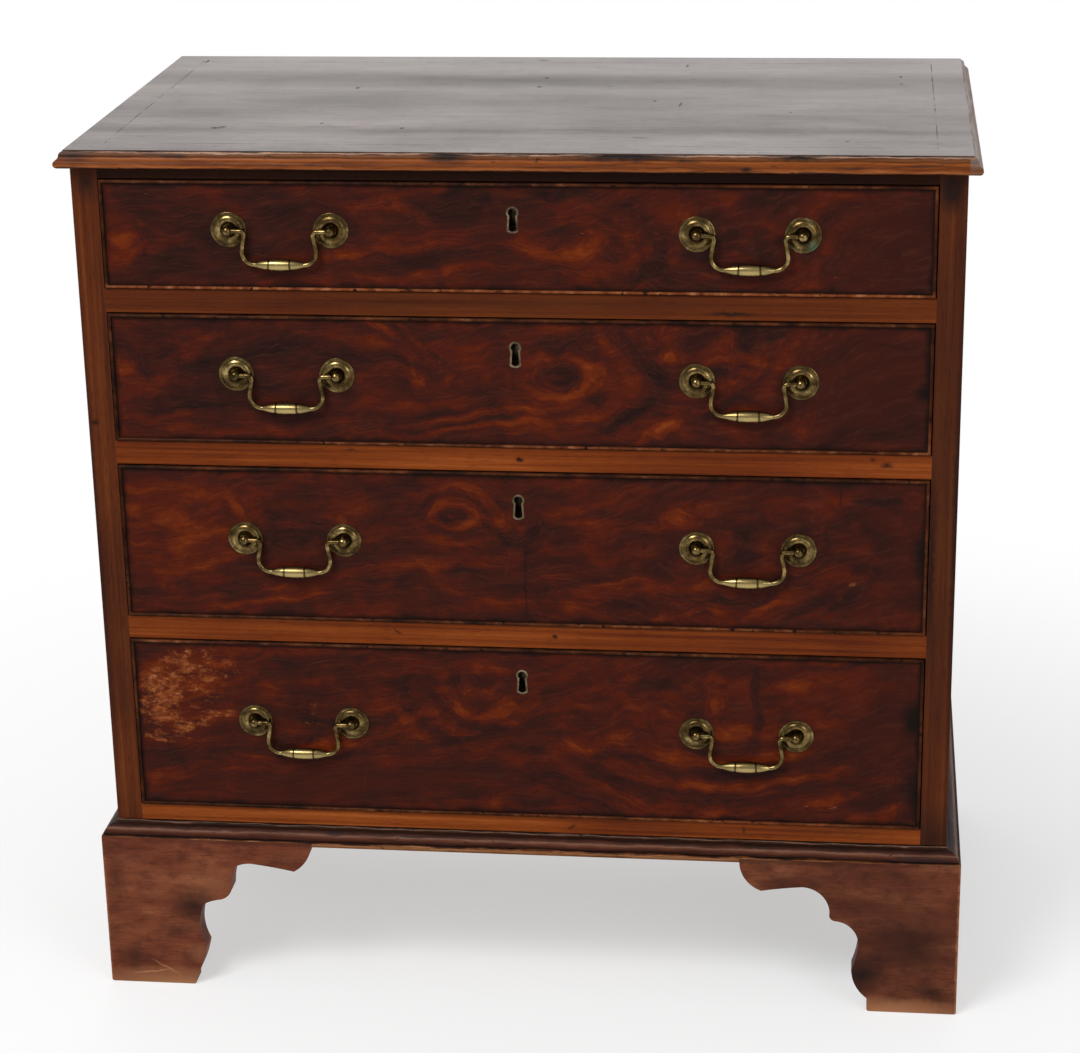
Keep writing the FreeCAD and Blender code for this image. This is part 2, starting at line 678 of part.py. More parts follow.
def dovetails(name, x, y, z, widest_far):
    """Evenly spaced tails over the height z, as many as their pitch allows."""
    height = z[1] - z[0]
    count = max(2, round(height.value / s.tail_pitch.value))
    pitch = height / count
    wide, narrow = pitch * s.tail_share / 2, pitch * s.tail_share / 2 - s.tail_flare
    tails = []
    for i in range(count):
        middle = z[0] + pitch * (i + 0.5)
        near, far = (narrow, wide) if widest_far else (wide, narrow)
        tails.append(tapered(f"{name}_{i + 1}", x, y, (middle - near, middle + near),
                             (middle - far, middle + far)))
    return tails


def drawer_box(tag, half, low, top):
    """Sides, back and bottom of a drawer. The sides carry the tails; the rest is cut to them."""
    z = (low + s.running_gap, top - s.side_drop)
    floor = z[0] + s.drawer_bottom_raise
    shelf = floor + s.drawer_bottom_thickness
    inner = half - s.lining_thickness
    groove = inner + s.side_groove
    bottom = block(tag + "bottom_board", (-groove, groove),
                   (s.front_thickness - s.front_groove, DRAWER_DEPTH), (floor, shelf))
    back_y = (DRAWER_DEPTH - s.drawer_back_thickness, DRAWER_DEPTH)
    back_z = (shelf, z[1] - s.back_drop)
    x = (inner, half)
    wood = [block(tag + "side_wood", x, (s.front_thickness, back_y[0]), z),
            block(tag + "side_heel", x, back_y, (z[0], shelf))]
    wood += dovetails(tag + "front_tail", x, (s.dovetail_lap, s.front_thickness), z, False)
    wood += dovetails(tag + "back_tail", x, back_y, back_z, True)
    right = cut(tag + "side_right", joined(tag + "side_whole", *wood), bottom)
    left = mirrored(tag + "side_left", right)
    blank = block(tag + "back_blank", (-half, half), back_y, back_z)
    node(tag + "sides", right, left)
    node(tag + "back", cut(tag + "back_cut", blank, right, left))
    node(tag + "bottom", bottom)
    return bottom, right, left


def keyhole(name, middle, grow, y):
    """A keyhole-shaped plug: a round head on a leg that widens to a rounded foot."""
    head = s.keyhole_head_radius + grow
    waist, foot = s.keyhole_waist + grow, s.keyhole_foot + grow
    end = s.keyhole_half_height + grow
    neck = root(head * head - waist * waist)
    outline = [(-waist, end - head - neck, head + neck),
               (waist, end - head - neck, None),
               (foot, s.keyhole_sole - end, s.keyhole_sole),
               (-foot, s.keyhole_sole - end, None)]
    return padded(name, "XZ_Plane", outline, y[1] - y[0], reversed_pad=True, y=y[0], z=middle)


def lock(tag, high, top):
    """Lock case with its selvedge, pin and bolt, and the brass thread of the keyhole."""
    near, far = s.lock_front, s.front_thickness
    metal, middle = s.lock_metal, high - s.keyhole_drop
    half, wide = s.lock_width / 2, s.selvedge_width / 2
    foot = top - s.lock_height
    shell = joined(tag + "lock_shell",
                   block(tag + "lock_box", (-half, half), (near, far), (foot, top)),
                   block(tag + "lock_plate", (-wide, wide), (far - metal, far), (foot, top)),
                   block(tag + "lock_selvedge", (-wide, wide), (near, far), (top - metal, top)))
    hollow = block(tag + "lock_hollow", (metal - half, half - metal), (near + metal, far - metal),
                   (foot + metal, top - metal))
    y, gap, reach = bolt_place(), s.bolt_clearance, s.bolt_width / 2
    slot = block(tag + "lock_slot", (-reach - gap, reach + gap), (y[0] - gap, y[1] + gap),
                 (top - metal, top))
    hole = keyhole(tag + "keyhole", middle, as_size(0), (as_size(0), near + metal))
    head = middle + s.keyhole_half_height - s.keyhole_head_radius
    pin = rod(tag + "key_pin", s.key_pin_radius, (0, near + s.key_pin_gap, head),
              far - metal - near - s.key_pin_gap, (0, 1, 0))
    case = cut(tag + "lock_case", shell, hollow, slot, hole)
    plug = keyhole(tag + "thread", middle, s.escutcheon_wall, (as_size(0), s.escutcheon_depth))
    node(tag + "lock", joined(tag + "lock_whole", case, pin), cut(tag + "escutcheon", plug, hole))
    node(tag + "lock_bolt", block(tag + "bolt_bar", (-reach, reach), y, (top - s.bolt_height, top)))
    return shell, hole, plug


def cock_beads(tag, half, z):
    """Four mitred strips with a rounded nose round the drawer front."""
    bead, depth, nose = s.bead_thickness, s.bead_depth, s.bead_thickness / 2
    face = nose - s.bead_projection

    def corner(name, level, sign, upright):
        """At the right end of a level strip, the part beyond the mitre, or the upright's own."""
        inner = half - bead
        third = (inner, level) if upright else (half, level + bead * sign)
        outline = [(half, level, None), (inner, level + bead * sign, None), (*third, None)]
        return padded(name, "XZ_Plane", outline, depth + s.bead_projection, reversed_pad=True,
                      y=-s.bead_projection)
    strips, notches = [], []
    for name, level, sign in ((tag + "bead_low", z[0], 1), (tag + "bead_high", z[1], -1)):
        low = level if sign == 1 else level - bead
        section = [(depth, low, None), (face, low, nose), (face, low + bead, None),
                   (depth, low + bead, None)]
        bar = padded(name + "_bar", "YZ_Plane", section, 2 * half, midplane=True)
        end = corner(name + "_end", level, sign, upright=False)
        strips.append(cut(name, bar, end, mirrored(name + "_other_end", end)))
        notches.append(corner(name + "_notch", level, sign, upright=True))
    section = [(half - bead, depth, None), (half - bead, face, -nose), (half, face, None),
               (half, depth, None)]
    bar = padded(tag + "bead_upright_bar", "XY_Plane", section, z[1] - z[0], z=z[0])
    upright = cut(tag + "bead_upright", bar, *notches)
    node(tag + "cock_beads", *strips, upright, mirrored(tag + "bead_upright_left", upright))


def post_body():
    """A turned post: shank, neck and ball, with its middle line on the Y axis."""
    ball, neck, waist = s.ball_radius, s.neck_radius, BALL_WAIST
    tail = s.front_thickness + s.nut_thickness + s.shank_tail
    chord = neck * neck + (waist + ball) * (waist + ball)
    outline = [(0, tail, None),
               (s.shank_radius, tail, None),
               (s.shank_radius, -ROSE_SEAT, None),
               (neck, -ROSE_SEAT, None),
               (neck, waist - STANDOFF, ball - root(ball * ball - chord / 4)),
               (0, -STANDOFF - ball, None)]
    return turned("post_turning", outline)


def handle_hardware():
    """Post, rose and nut, with the post's middle line on the Y axis and its hole towards plus X."""
    hole = rod("post_hole", s.bail_radius + s.bail_clearance,
               (s.pin_reach - s.pin_end_gap, -STANDOFF, 0), s.ball_radius, (1, 0, 0))
    rose = turned("rose", [(s.shank_radius, 0, None), (s.rose_radius, 0, None)]
                  + [(s.rose_radius * out, -(s.rose_height * up), s.rose_height * sag if sag else None)
                     for out, up, sag in ROSE_OUTLINE]
                  + [(s.shank_radius, -ROSE_SEAT, None)])
    half, near = s.nut_side / 2, s.front_thickness
    nut = block("nut_blank", (-half, half), (near, near + s.nut_thickness), (-half, half))
    bore = rod("nut_bore", s.shank_radius, (0, near, 0), s.nut_thickness, (0, 1, 0))
    left = doc.addObject("Part::Compound", "hardware_left")
    left.Links = [cut("post", post_body(), hole), rose, cut("nut", nut, bore)]
    return left, mirrored("hardware_right", left)


def bail_path():
    """Half of a bail's middle line from the pin's end to the grip, with the grip on the X axis: two
    equal turns joined by a leaning arm."""
    drop, neck, foot = s.bail_drop, s.neck_half_width, s.foot_half_width
    lean = foot - neck
    arm = root(lean * lean + drop * drop)
    out, down = lean / arm, drop / arm
    tangent = (arm + lean) / drop
    elbow, belly = s.elbow_radius * tangent, s.belly_radius * tangent
    rise = 1 - root((1 - out) / 2)
    return [(s.post_spacing / 2 - s.pin_reach, drop, None),
            (neck + elbow, drop, -(s.elbow_radius * rise)),
            (neck + elbow * out, drop - elbow * down, None),
            (foot - belly * out, belly * down, s.belly_radius * rise),
            (foot - belly, 0, None)]


def bail_body():
    """Round arms bent from the two pins to a straight grip that swells towards the middle."""
    body = new_body("bail")
    half = bail_path()
    turns = [None] + [sag for _, _, sag in reversed(half)]
    other = [(-u, v, sag) for (u, v, _), sag in zip(reversed(half), turns[2:] + [None])]
    path = attached_sketch(body, "bail_path", "XZ_Plane")
    draw(path, half + other, closed=False)
    section = attached_sketch(body, "bail_section", "YZ_Plane")
    bind(section, "AttachmentOffset.Base.z", half[0][0])
    section.addGeometry(Part.Circle(FreeCAD.Vector(0, s.bail_drop.value, 0), FreeCAD.Vector(0, 0, 1),
                                    s.bail_radius.value))
    constrain(section, "DistanceX", (0, 3), 0)
    constrain(section, "DistanceY", (0, 3), s.bail_drop)
    constrain(section, "Radius", (0,), s.bail_radius)
    doc.recompute()
    arms = body.newObject("PartDesign::AdditivePipe", "bail_arms")
    arms.Profile, arms.Spine = section, path
    length, joint, swell = s.grip_half_length, s.grip_joint, -s.grip_swell
    thin, shoulder = s.bail_radius - s.grip_burial, s.grip_radius - s.grip_swell
    outline = [(length, 0, None), (length, thin, swell), (joint, shoulder, swell),
               (-joint, shoulder, swell), (-length, thin, None), (-length, 0, None)]
    grip = attached_sketch(body, "bail_grip", "XZ_Plane")
    draw(grip, outline)
    spindle = body.newObject("PartDesign::Revolution", "bail_spindle")
    spindle.Profile = grip
    spindle.ReferenceAxis = (grip, ["H_Axis"])
    spindle.Angle = 360
    body.Tip = spindle
    groove = doc.addObject("Part::Torus", "grip_groove")
    bind(groove, "Radius1", shoulder)
    bind(groove, "Radius2", s.grip_groove)
    groove.Placement.Rotation = FreeCAD.Rotation(FreeCAD.Vector(0, 1, 0), 90 - GROOVE_LEAN)
    bind(groove, "Placement.Base.x", joint)
    return cut("bail_grooved", body, groove, mirrored("grip_groove_left", groove))


def placed(name, source, x, y, z):
    """A copy of a piece, carried to a place."""
    copy = doc.addObject("Part::Compound", name)
    copy.Links = [source]
    for axis, place in zip("xyz", (x, y, z)):
        bind(copy, f"Placement.Base.{axis}", place)
    return copy


def handles(tag, level):
    """Both handles of a drawer; returns the holes that their posts need in the front."""
    hardware, holes = [], []
    for side, sign in (("left", -1), ("right", 1)):
        middle = s.handle_centre * sign
        bail = placed(f"{tag}bail_{side}_copy", BAIL, middle, -STANDOFF, level - s.bail_drop)
        node(f"{tag}bail_{side}", bail)
        for piece, hand in zip(HARDWARE, (-1, 1)):
            x = middle + s.post_spacing / 2 * hand
            name = f"{tag}{side}_{piece.Name}"
            hardware.append(placed(name, piece, x, 0, level))
            holes.append(rod(name + "_hole", s.shank_radius + s.shank_clearance, (x, 0, level),
                             s.front_thickness, (0, 1, 0)))
    node(tag + "handle_posts", *hardware)
    return holes


def drawer(number, low, high):
    """One drawer: box, locked front, beads and handles. Its front fits the opening low to high."""
    tag = f"drawer_{number}_"
    half = HALF_OPENING - s.drawer_side_gap
    top, bead = high - s.drawer_top_gap, s.bead_thickness
    z = (low + s.drawer_foot_gap, top)
    box = drawer_box(tag, half, low, top)
    lock_tools = lock(tag, high, top)
    cock_beads(tag, half, z)
    holes = handles(tag, (low + high) / 2 + s.handle_rise)
    blank = joined(tag + "front_blank",
                   block(tag + "front_face", (bead - half, half - bead), (0, s.front_thickness),
                         (z[0] + bead, z[1] - bead)),
                   block(tag + "front_ground", (-half, half), (s.bead_depth, s.front_thickness), z))
    node(tag + "front", cut(tag + "front_cut", blank, *box, *lock_tools, *holes))


# ---------------------------------------------------------------- build, check and write

def check():
    """Stops at a failed object, at a cut that cut nothing and at a sub-part that isn't sound."""
    for thing in doc.Objects:
        if {"Invalid", "Error"} & set(thing.State):
            raise SystemExit(f"{thing.Label} failed: {thing.State}")
    for less in cuts:
        if less.Shape.Volume > less.Base.Shape.Volume - 1e-6:
            raise SystemExit(f"{less.Label} cuts nothing")
    for name, part in nodes.items():
        if part.Shape.isNull() or not part.Shape.isValid() or not part.Shape.Solids:
            raise SystemExit(f"{name} is not a valid solid")


case_sides()
back_boards()
case_frame()
top()
base()
feet()
HARDWARE, BAIL = handle_hardware(), bail_body()
for number, (low, high) in enumerate(OPENINGS, start=1):
    drawer(number, low, high)
doc.recompute()
check()
os.makedirs("parts", exist_ok=True)
for name, part in nodes.items():
    part.Label = name
    part.Shape.exportStep(f"parts/{name}.step")
print(len(nodes), "nodes,", sum(len(p.Shape.Solids) for p in nodes.values()), "solids")
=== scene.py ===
# %% [markdown]
# # A bachelor's chest in old mahogany
# Four long drawers in a moulded case on bracket feet, two hundred years old and well used. The
# solids come from the part's own model, loaded here as a fixed frame: one object for each piece,
# in metres, with the floor at z = 0 and the front towards minus Y. The steps below give each piece
# the finish that its wood or metal has, add what is too small for the solids, and set up the
# studio.

# %% Load the frame
import math
import bmesh
import bpy
from mathutils import Matrix, Vector


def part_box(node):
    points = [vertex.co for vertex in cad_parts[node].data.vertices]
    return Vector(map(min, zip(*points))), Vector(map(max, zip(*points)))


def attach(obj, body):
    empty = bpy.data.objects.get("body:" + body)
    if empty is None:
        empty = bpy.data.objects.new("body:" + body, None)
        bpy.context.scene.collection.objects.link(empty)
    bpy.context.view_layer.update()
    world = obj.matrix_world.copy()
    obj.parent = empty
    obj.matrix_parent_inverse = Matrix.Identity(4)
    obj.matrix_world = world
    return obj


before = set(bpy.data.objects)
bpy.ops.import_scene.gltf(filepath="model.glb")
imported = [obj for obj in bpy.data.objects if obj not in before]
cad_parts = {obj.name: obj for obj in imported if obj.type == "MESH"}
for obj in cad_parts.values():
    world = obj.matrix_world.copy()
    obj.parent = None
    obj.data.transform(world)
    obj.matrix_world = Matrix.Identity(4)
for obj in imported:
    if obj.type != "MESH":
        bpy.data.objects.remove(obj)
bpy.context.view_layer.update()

# %% [markdown]
# ## Camera
# A long lens a good three paces away, a little above the top and to the right of the middle, sees
# the front almost square and the top as a slim band. A camera needs a place and three directions;
# they are worked out from its turn, its tilt and a slight roll, then put in one matrix. Everything
# is in focus, as it is when a small aperture is used in a studio.

# %% Camera
PLACE = Vector((0.30696, -2.60712, 1.33946))   # m
TURN, TILT, ROLL = 0.1198, -0.3447, -0.0187    # radians
FOCAL, SENSOR = 93.98, 36.0                    # mm

ahead = Vector((-math.sin(TURN) * math.cos(TILT), math.cos(TURN) * math.cos(TILT), math.sin(TILT)))
level = Vector((math.cos(TURN), math.sin(TURN), 0))
above = level.cross(ahead)
right = level * math.cos(ROLL) + above * math.sin(ROLL)
up = above * math.cos(ROLL) - level * math.sin(ROLL)
camera = bpy.data.objects.new("camera", bpy.data.cameras.new("camera"))
camera.data.lens, camera.data.sensor_width = FOCAL, SENSOR
camera.data.clip_start, camera.data.clip_end = 0.05, 60
camera.matrix_world = Matrix((right, up, -ahead)).transposed().to_4x4()
camera.matrix_world.translation = PLACE
bpy.context.scene.collection.objects.link(camera)
bpy.context.scene.camera = camera
print("camera looks along", [round(v, 3) for v in ahead])

# %% [markdown]
# ## One way to write a node
# Every finish is a small graph of nodes. The helper below adds one node, sets it up and fills its
# inputs: from another node, from a plain value, or from a hex colour. A Map Range node is written
# as what it reads, two values of that, and what comes out at each. Hex colours are written for a
# screen, so one function turns them into the linear values that light is reckoned in. A finish
# reads Object coordinates, which are metres in the chest's own frame, so a pattern's size is a
# real size.

# %% Nodes
MM = 0.001


def linear(code):
    """A screen colour such as "#6e3213" as linear red, green and blue with full alpha."""
    parts = [int(code[i:i + 2], 16) / 255 for i in (1, 3, 5)]
    return [c / 12.92 if c <= 0.04045 else ((c + 0.055) / 1.055) ** 2.4 for c in parts] + [1.0]


def add(tree, kind, inputs=(), stops=(), **settings):
    """Adds one node. Inputs are in order or by name; stops are a ramp's places and colours."""
    node = tree.nodes.new(kind if "Node" in kind else "ShaderNode" + kind)
    for name, value in settings.items():
        setattr(node, name, value)
    if stops:
        elements = node.color_ramp.elements
        elements.remove(elements[1])
        elements[0].position, elements[0].color = stops[0][0], linear(stops[0][1])
        for position, code in stops[1:]:
            elements.new(position).color = linear(code)
    for key, value in inputs.items() if isinstance(inputs, dict) else enumerate(inputs):
        if isinstance(key, int):
            socket = node.inputs[key]
        else:
            socket = next(s for s in node.inputs if s.name == key and s.enabled)
        if isinstance(value, bpy.types.Node):
            value = next(s for s in value.outputs if s.enabled)
        if isinstance(value, bpy.types.NodeSocket):
            tree.links.new(value, socket)
        else:
            socket.default_value = linear(value) if isinstance(value, str) else value
    return node


# %% [markdown]
# ## Patterns in millimetres
# Three patterns serve all the finishes. A cloud is noise whose lumps have a real length along each
# axis: long and thin it is wood grain, round it is dirt. A spot is an oval place with a soft edge,
# for a stain, a nail hole or one stroke of a figure. Ragged moves places a little by a noise, so
# that whatever is drawn on them loses its clean outline. Most marks are seen from the front, so
# they are listed as x, z, half length, half height, turn and strength, and reach through any
# depth. On a ground, spots make marks, ragged spots make stains, and the peaks of a cloud make
# flecks. Dirt and joints that follow an outline need the distance from the nearest edge.

# %% Patterns
NO_LIMIT = 1e5   # mm; a spot that reaches so far along an axis is the same all along it


def cloud(tree, place, lengths, seed, detail=3.0, rough=0.55):
    """Noise around a half, with lumps of so many mm along X, Y and Z."""
    if not isinstance(lengths, (tuple, list)):
        lengths = (lengths,) * 3
    scaled = add(tree, "Mapping", {"Vector": place, "Scale": [1 / (l * MM) for l in lengths],
                                   "Location": (seed * 3.7, seed * 1.9, seed * 5.3)})
    return add(tree, "TexNoise", {"Vector": scaled, "Scale": 1.0, "Detail": detail,
                                  "Roughness": rough})


def ragged(tree, place, size, shift, seed):
    """Places moved by up to about shift mm, by a noise with lumps of size mm."""
    noise = cloud(tree, place, size, seed)
    centred = add(tree, "VectorMath", (noise.outputs["Color"], (0.5, 0.5, 0.5)),
                  operation="SUBTRACT")
    return add(tree, "VectorMath", (centred, (2 * shift * MM,) * 3, place),
               operation="MULTIPLY_ADD")


def spot(tree, place, centre, reach, turn=(0, 0, 0)):
    """1 in the middle of an oval, 0 from its edge on. Centre and reach in mm, turn in degrees."""
    inside = add(tree, "Mapping", {"Vector": place, "Location": [v * MM for v in centre],
                                   "Rotation": [math.radians(a) for a in turn],
                                   "Scale": [v * MM for v in reach]}, vector_type="TEXTURE")
    return add(tree, "TexGradient", {"Vector": inside}, gradient_type="SPHERICAL").outputs["Fac"]


def spots(tree, place, rows, start=0.0):
    """The sum of several spots times their strengths; a row is centre, reach, turn, strength."""
    total = start
    for centre, reach, turn, strength in rows:
        total = add(tree, "Math", (spot(tree, place, centre, reach, turn), strength, total),
                    operation="MULTIPLY_ADD")
    return total


def on_front(rows):
    """Rows of x, z, half length, half height, turn and strength as spots of any depth."""
    return [((x, 0, z), (long, NO_LIMIT, high), (0, -turn, 0), strength)
            for x, z, long, high, turn, strength in rows]


def marked(tree, place, ground, rows, code):
    """A ground with spots of one colour."""
    return add(tree, "Mix", {"Factor": spots(tree, place, rows), "A": ground, "B": code},
               data_type="RGBA", clamp_factor=True)


def stained(tree, place, ground, rows, code):
    """A ground with spots of one colour whose outlines are ragged."""
    return marked(tree, ragged(tree, place, 7, 2.5, 31), ground, rows, code)


def flecked(tree, noise, start, end, most, ground, code, ease="LINEAR", blend="MIX"):
    """A ground with a colour that comes, up to most, as a noise rises from start to end."""
    amount = add(tree, "MapRange", (noise, start, end, 0.0, most), interpolation_type=ease)
    return add(tree, "Mix", {"Factor": amount, "A": ground, "B": code}, data_type="RGBA",
               blend_type=blend)


def even(colours, low=0.36, high=0.64):
    """Ramp stops for colours spread evenly over the values that a noise has."""
    return [(low + (high - low) * i / (len(colours) - 1), code) for i, code in enumerate(colours)]


def from_edge(tree, place, low, high, axes):
    """How far in a point lies, in metres, from the nearest edge of a box along these axes."""
    middle, half = (low + high) / 2, (high - low) / 2
    local = add(tree, "Mapping", {"Vector": place, "Location": -middle})
    places = add(tree, "SeparateXYZ", (local,)).outputs
    depths = []
    for axis in axes:
        far = add(tree, "Math", (places[axis],), operation="ABSOLUTE")
        depths.append(add(tree, "Math", (half[axis], far), operation="SUBTRACT"))
    return add(tree, "Math", depths, operation="MINIMUM")


# %% [markdown]
# ## Finish and coat
# A finish is started empty, with the place of each point, and ended with a coat: the shader that
# holds its colour, roughness and relief. Roughness mostly follows a pattern, so it is given as the
# pattern, two of its values and the roughness at each. What is the same all over, such as the
# strength of the gloss, is set on the shader itself.

# %% Start and end of a finish
def new_finish(name):
    """An empty material; returns it with its tree and the place of each point, in metres."""
    finish = bpy.data.materials.new(name)
    finish.use_nodes = True
    finish.node_tree.nodes.clear()
    place = add(finish.node_tree, "TexCoord").outputs["Object"]
    return finish, finish.node_tree, place


def coat(tree, colour, rough, gloss, height, depth, metal=0.0):
    """Ends a finish. Rough is a socket, or a pattern, two of its values and the roughness there.
    The relief of height is depth mm deep; gloss is the specular level."""
    if isinstance(rough, tuple):
        rough = add(tree, "MapRange", rough)
    relief = add(tree, "Bump", {"Height": height, "Strength": 1.0, "Distance": depth * MM})
    shader = add(tree, "BsdfPrincipled", {"Base Color": colour, "Roughness": rough,
                                          "Metallic": metal, "Specular IOR Level": gloss,
                                          "Normal": relief})
    add(tree, "OutputMaterial", {"Surface": shader})


print("patterns ready")

# %% [markdown]
# ## Floor and backdrop
# A dealer's studio: a pale floor that runs into white. The whiteness is a matter of colour alone.
# Rays from the camera, and rays that a shiny surface or glass sends out, meet white, while the
# light that falls on the chest comes from a plain grey world. The floor near the chest is a real
# surface that keeps the chest's shadow; with distance it turns into the white of the backdrop.

# %% Floor
FLOOR_REACH = 9.0         # m from the middle to each edge
FLOOR_DROP = 0.4 * MM     # keeps the soles clear of the floor
WHITE_FROM, WHITE_TO = 0.35, 1.3   # m from the middle, where the paper turns into the backdrop
floor_mesh = bpy.data.meshes.new("floor")
floor_mesh.from_pydata([(x * FLOOR_REACH, y * FLOOR_REACH, -FLOOR_DROP)
                        for x, y in ((-1, -1), (1, -1), (1, 1), (-1, 1))], [], [(0, 1, 2, 3)])
floor = bpy.data.objects.new("floor", floor_mesh)
bpy.context.scene.collection.objects.link(floor)


def seen_rays(tree):
    """1 for rays that show a surface directly, in a mirror or through glass."""
    rays = add(tree, "LightPath")
    direct = add(tree, "Math", (rays.outputs["Is Camera Ray"], rays.outputs["Is Glossy Ray"]),
                 operation="MAXIMUM")
    return add(tree, "Math", (direct, rays.outputs["Is Transmission Ray"]), operation="MAXIMUM")


floor_paint, tree, place = new_finish("white_studio_floor")
seen = seen_rays(tree)
shade = add(tree, "Mix", {"Factor": seen, "A": "#b4b2b0", "B": "#ffffff"}, data_type="RGBA")
paper = add(tree, "BsdfDiffuse", {"Color": shade})
glow = add(tree, "Emission", {"Color": "#ffffff", "Strength": 1.0})
away = add(tree, "VectorMath", (place,), operation="LENGTH").outputs["Value"]
fade = add(tree, "MapRange", (away, WHITE_FROM, WHITE_TO, 0.5, 1.0),
           interpolation_type="SMOOTHSTEP")
share = add(tree, "Math", (seen, fade), operation="MULTIPLY")
add(tree, "OutputMaterial", {"Surface": add(tree, "MixShader", (share, paper, glow))})
floor_paint.cycles.emission_sampling = "NONE"
floor_mesh.materials.append(floor_paint)
print("floor:", FLOOR_REACH * 2, "m wide")

# %% [markdown]
# ## Light
# One large soft lamp in front and above gives the mouldings their shade and the brass its sparks,
# a weaker one on the other side fills in, and a wide one behind lies as a sheen on the polished
# top. The backdrop hangs behind the chest, so what the brass and the polish mirror from there is
# white, and what they mirror from in front of it is the plain daylight of the room.

# %% World and lamps
DAYLIGHT = 0.42   # strength of the room, as the fronts mirror it and are lit by it
world = bpy.data.worlds.new("white_backdrop")
bpy.context.scene.world = world
world.use_nodes = True
tree = world.node_tree
tree.nodes.clear()
white = add(tree, "Background", {"Color": "#ffffff", "Strength": 1.0})
soft = add(tree, "Background", {"Color": "#ffffff", "Strength": DAYLIGHT})
rays = add(tree, "LightPath").outputs
heading = add(tree, "SeparateXYZ", (add(tree, "TexCoord").outputs["Generated"],)).outputs["Y"]
behind = add(tree, "MapRange", (heading, -0.3, 0.2), interpolation_type="SMOOTHSTEP")
mirrored = add(tree, "Math", (rays["Is Glossy Ray"], behind), operation="MULTIPLY")
direct = add(tree, "Math", (rays["Is Camera Ray"], rays["Is Transmission Ray"]),
             operation="MAXIMUM")
seen = add(tree, "Math", (direct, mirrored), operation="MAXIMUM")
add(tree, "OutputWorld", {"Surface": add(tree, "MixShader", (seen, soft, white))})

LAMPS = {  # place, aimed at, width and height in metres, watts
    "key_light": ((-1.2, -2.1, 3.0), (0, -0.1, 0.4), 1.4, 1.1, 74),
    "fill_light": ((2.1, -2.4, 1.5), (0, -0.1, 0.45), 1.4, 1.4, 22),
    "back_light": ((-0.3, 2.4, 2.1), (0, 0, 0.8), 3.0, 0.8, 20),
}
for name, (stand, target, width, height, watts) in LAMPS.items():
    data = bpy.data.lights.new(name, "AREA")
    data.shape, data.size, data.size_y, data.energy = "RECTANGLE", width, height, watts
    lamp = bpy.data.objects.new(name, data)
    lamp.location = stand
    lamp.rotation_euler = (Vector(target) - Vector(stand)).to_track_quat("-Z", "Y").to_euler()
    lamp.visible_camera = False
    bpy.context.scene.collection.objects.link(lamp)
bpy.context.scene.view_settings.view_transform = "Standard"
print("lamps:", ", ".join(LAMPS))

# %% [markdown]
# ## Straight-grained wood
# Rails, stiles, sides, mouldings and feet are sawn mahogany, oiled and waxed for generations. One
# sees a warm ground, long soft streaks along the grain, short dark pores, and broad patches where
# the polish has darkened. All of that is noise stretched along the grain by different amounts, so
# one function makes every such piece from a few colours and a direction. A piece may add marks of
# its own. Hand-planed wood isn't a mirror: it gets a soft gloss and a very low relief from its
# pores.

# %% Straight-grained wood
PORE = (14, 0.8)   # length and width in mm; real pores are finer, but these still show


def stretched(length, width, axis):
    """Lengths along X, Y and Z for a grain along one of them."""
    return [length if i == axis else width for i in range(3)]


def straight_wood(name, axis, colours, seed, marks=None, patch=90, streak=(420, 9), rough=0.42,
                  gloss=0.15, pore_dark=0.4):
    """Sawn and polished wood. Colours run from the darkest streak to the lightest."""
    finish, tree, place = new_finish(name)
    streaks = cloud(tree, place, stretched(*streak, axis), seed, 5.0, 0.6)
    patches = cloud(tree, place, stretched(patch * 2.5, patch, axis), seed + 1)
    pores = cloud(tree, place, stretched(*PORE, axis), seed + 2, 2.0)
    tone = add(tree, "Mix", {"Factor": 0.45, "A": streaks, "B": patches}, data_type="FLOAT")
    wood = add(tree, "ValToRGB", {"Fac": tone}, even(colours))
    wood = flecked(tree, pores, 0.54, 0.70, pore_dark, wood, colours[0], "SMOOTHSTEP", "MULTIPLY")
    if marks:
        wood = marks(tree, place, wood)
    coat(tree, wood, (patches, 0.3, 0.7, rough - 0.07, rough + 0.08), gloss, pores, 0.05)
    return finish


print("wood ready")

# %% [markdown]
# ## Rails and stiles
# The frame round the drawers is the most orange wood on the chest. It is darker along the edges
# beside the drawers and on the outer edges of the stiles. The highest rail is painted near black,
# for its dirt and for the shade that the top casts on it; painted shade also darkens the tops of
# the stiles under the top and the rail below the highest drawer. The lowest rail is the palest. A
# nail hole, a few knots and bumps are single spots.

# %% Frame finishes
RAIL_WOOD = ["#55210b", "#6c2f0f", "#7c3a13", "#92491c"]
STILE_WOOD = ["#3c1a0c", "#512510", "#5f2d13", "#6d391a"]
BOTTOM_RAIL_WOOD = ["#5f270e", "#793712", "#8b4418", "#a15525"]
# The highest rail is painted near black: its dirt and the painted shade that the top casts on it.
TOP_RAIL_DIRT_AND_SHADE = ["#1f0f0a", "#2a150c", "#34190e"]
# The long band at 684 mm is painted shade on the rail below the highest drawer; the other rows are
# knots, holes and dirt.
RAIL_SPOTS_AND_SHADE = on_front([
    (2, 539, 4, 3.5, 0, 1.6), (330, 540, 7, 4.5, 0, 1.1), (318, 545, 4, 3, 0, 0.9),
    (31, 368, 3.5, 3, 0, 1.4), (-115, 369, 8, 1.6, -35, 0.9), (44, 175, 6, 2.4, 30, 1.0),
    (206, 178, 2, 6, 0, 0.9), (-152, 545, 9, 2, 0, 0.8), (-60, 684, 900, 34, 0, 0.72),
    (192, 677, 30, 3, 0, 0.7), (300, 180, 60, 8, 0, 0.4)])
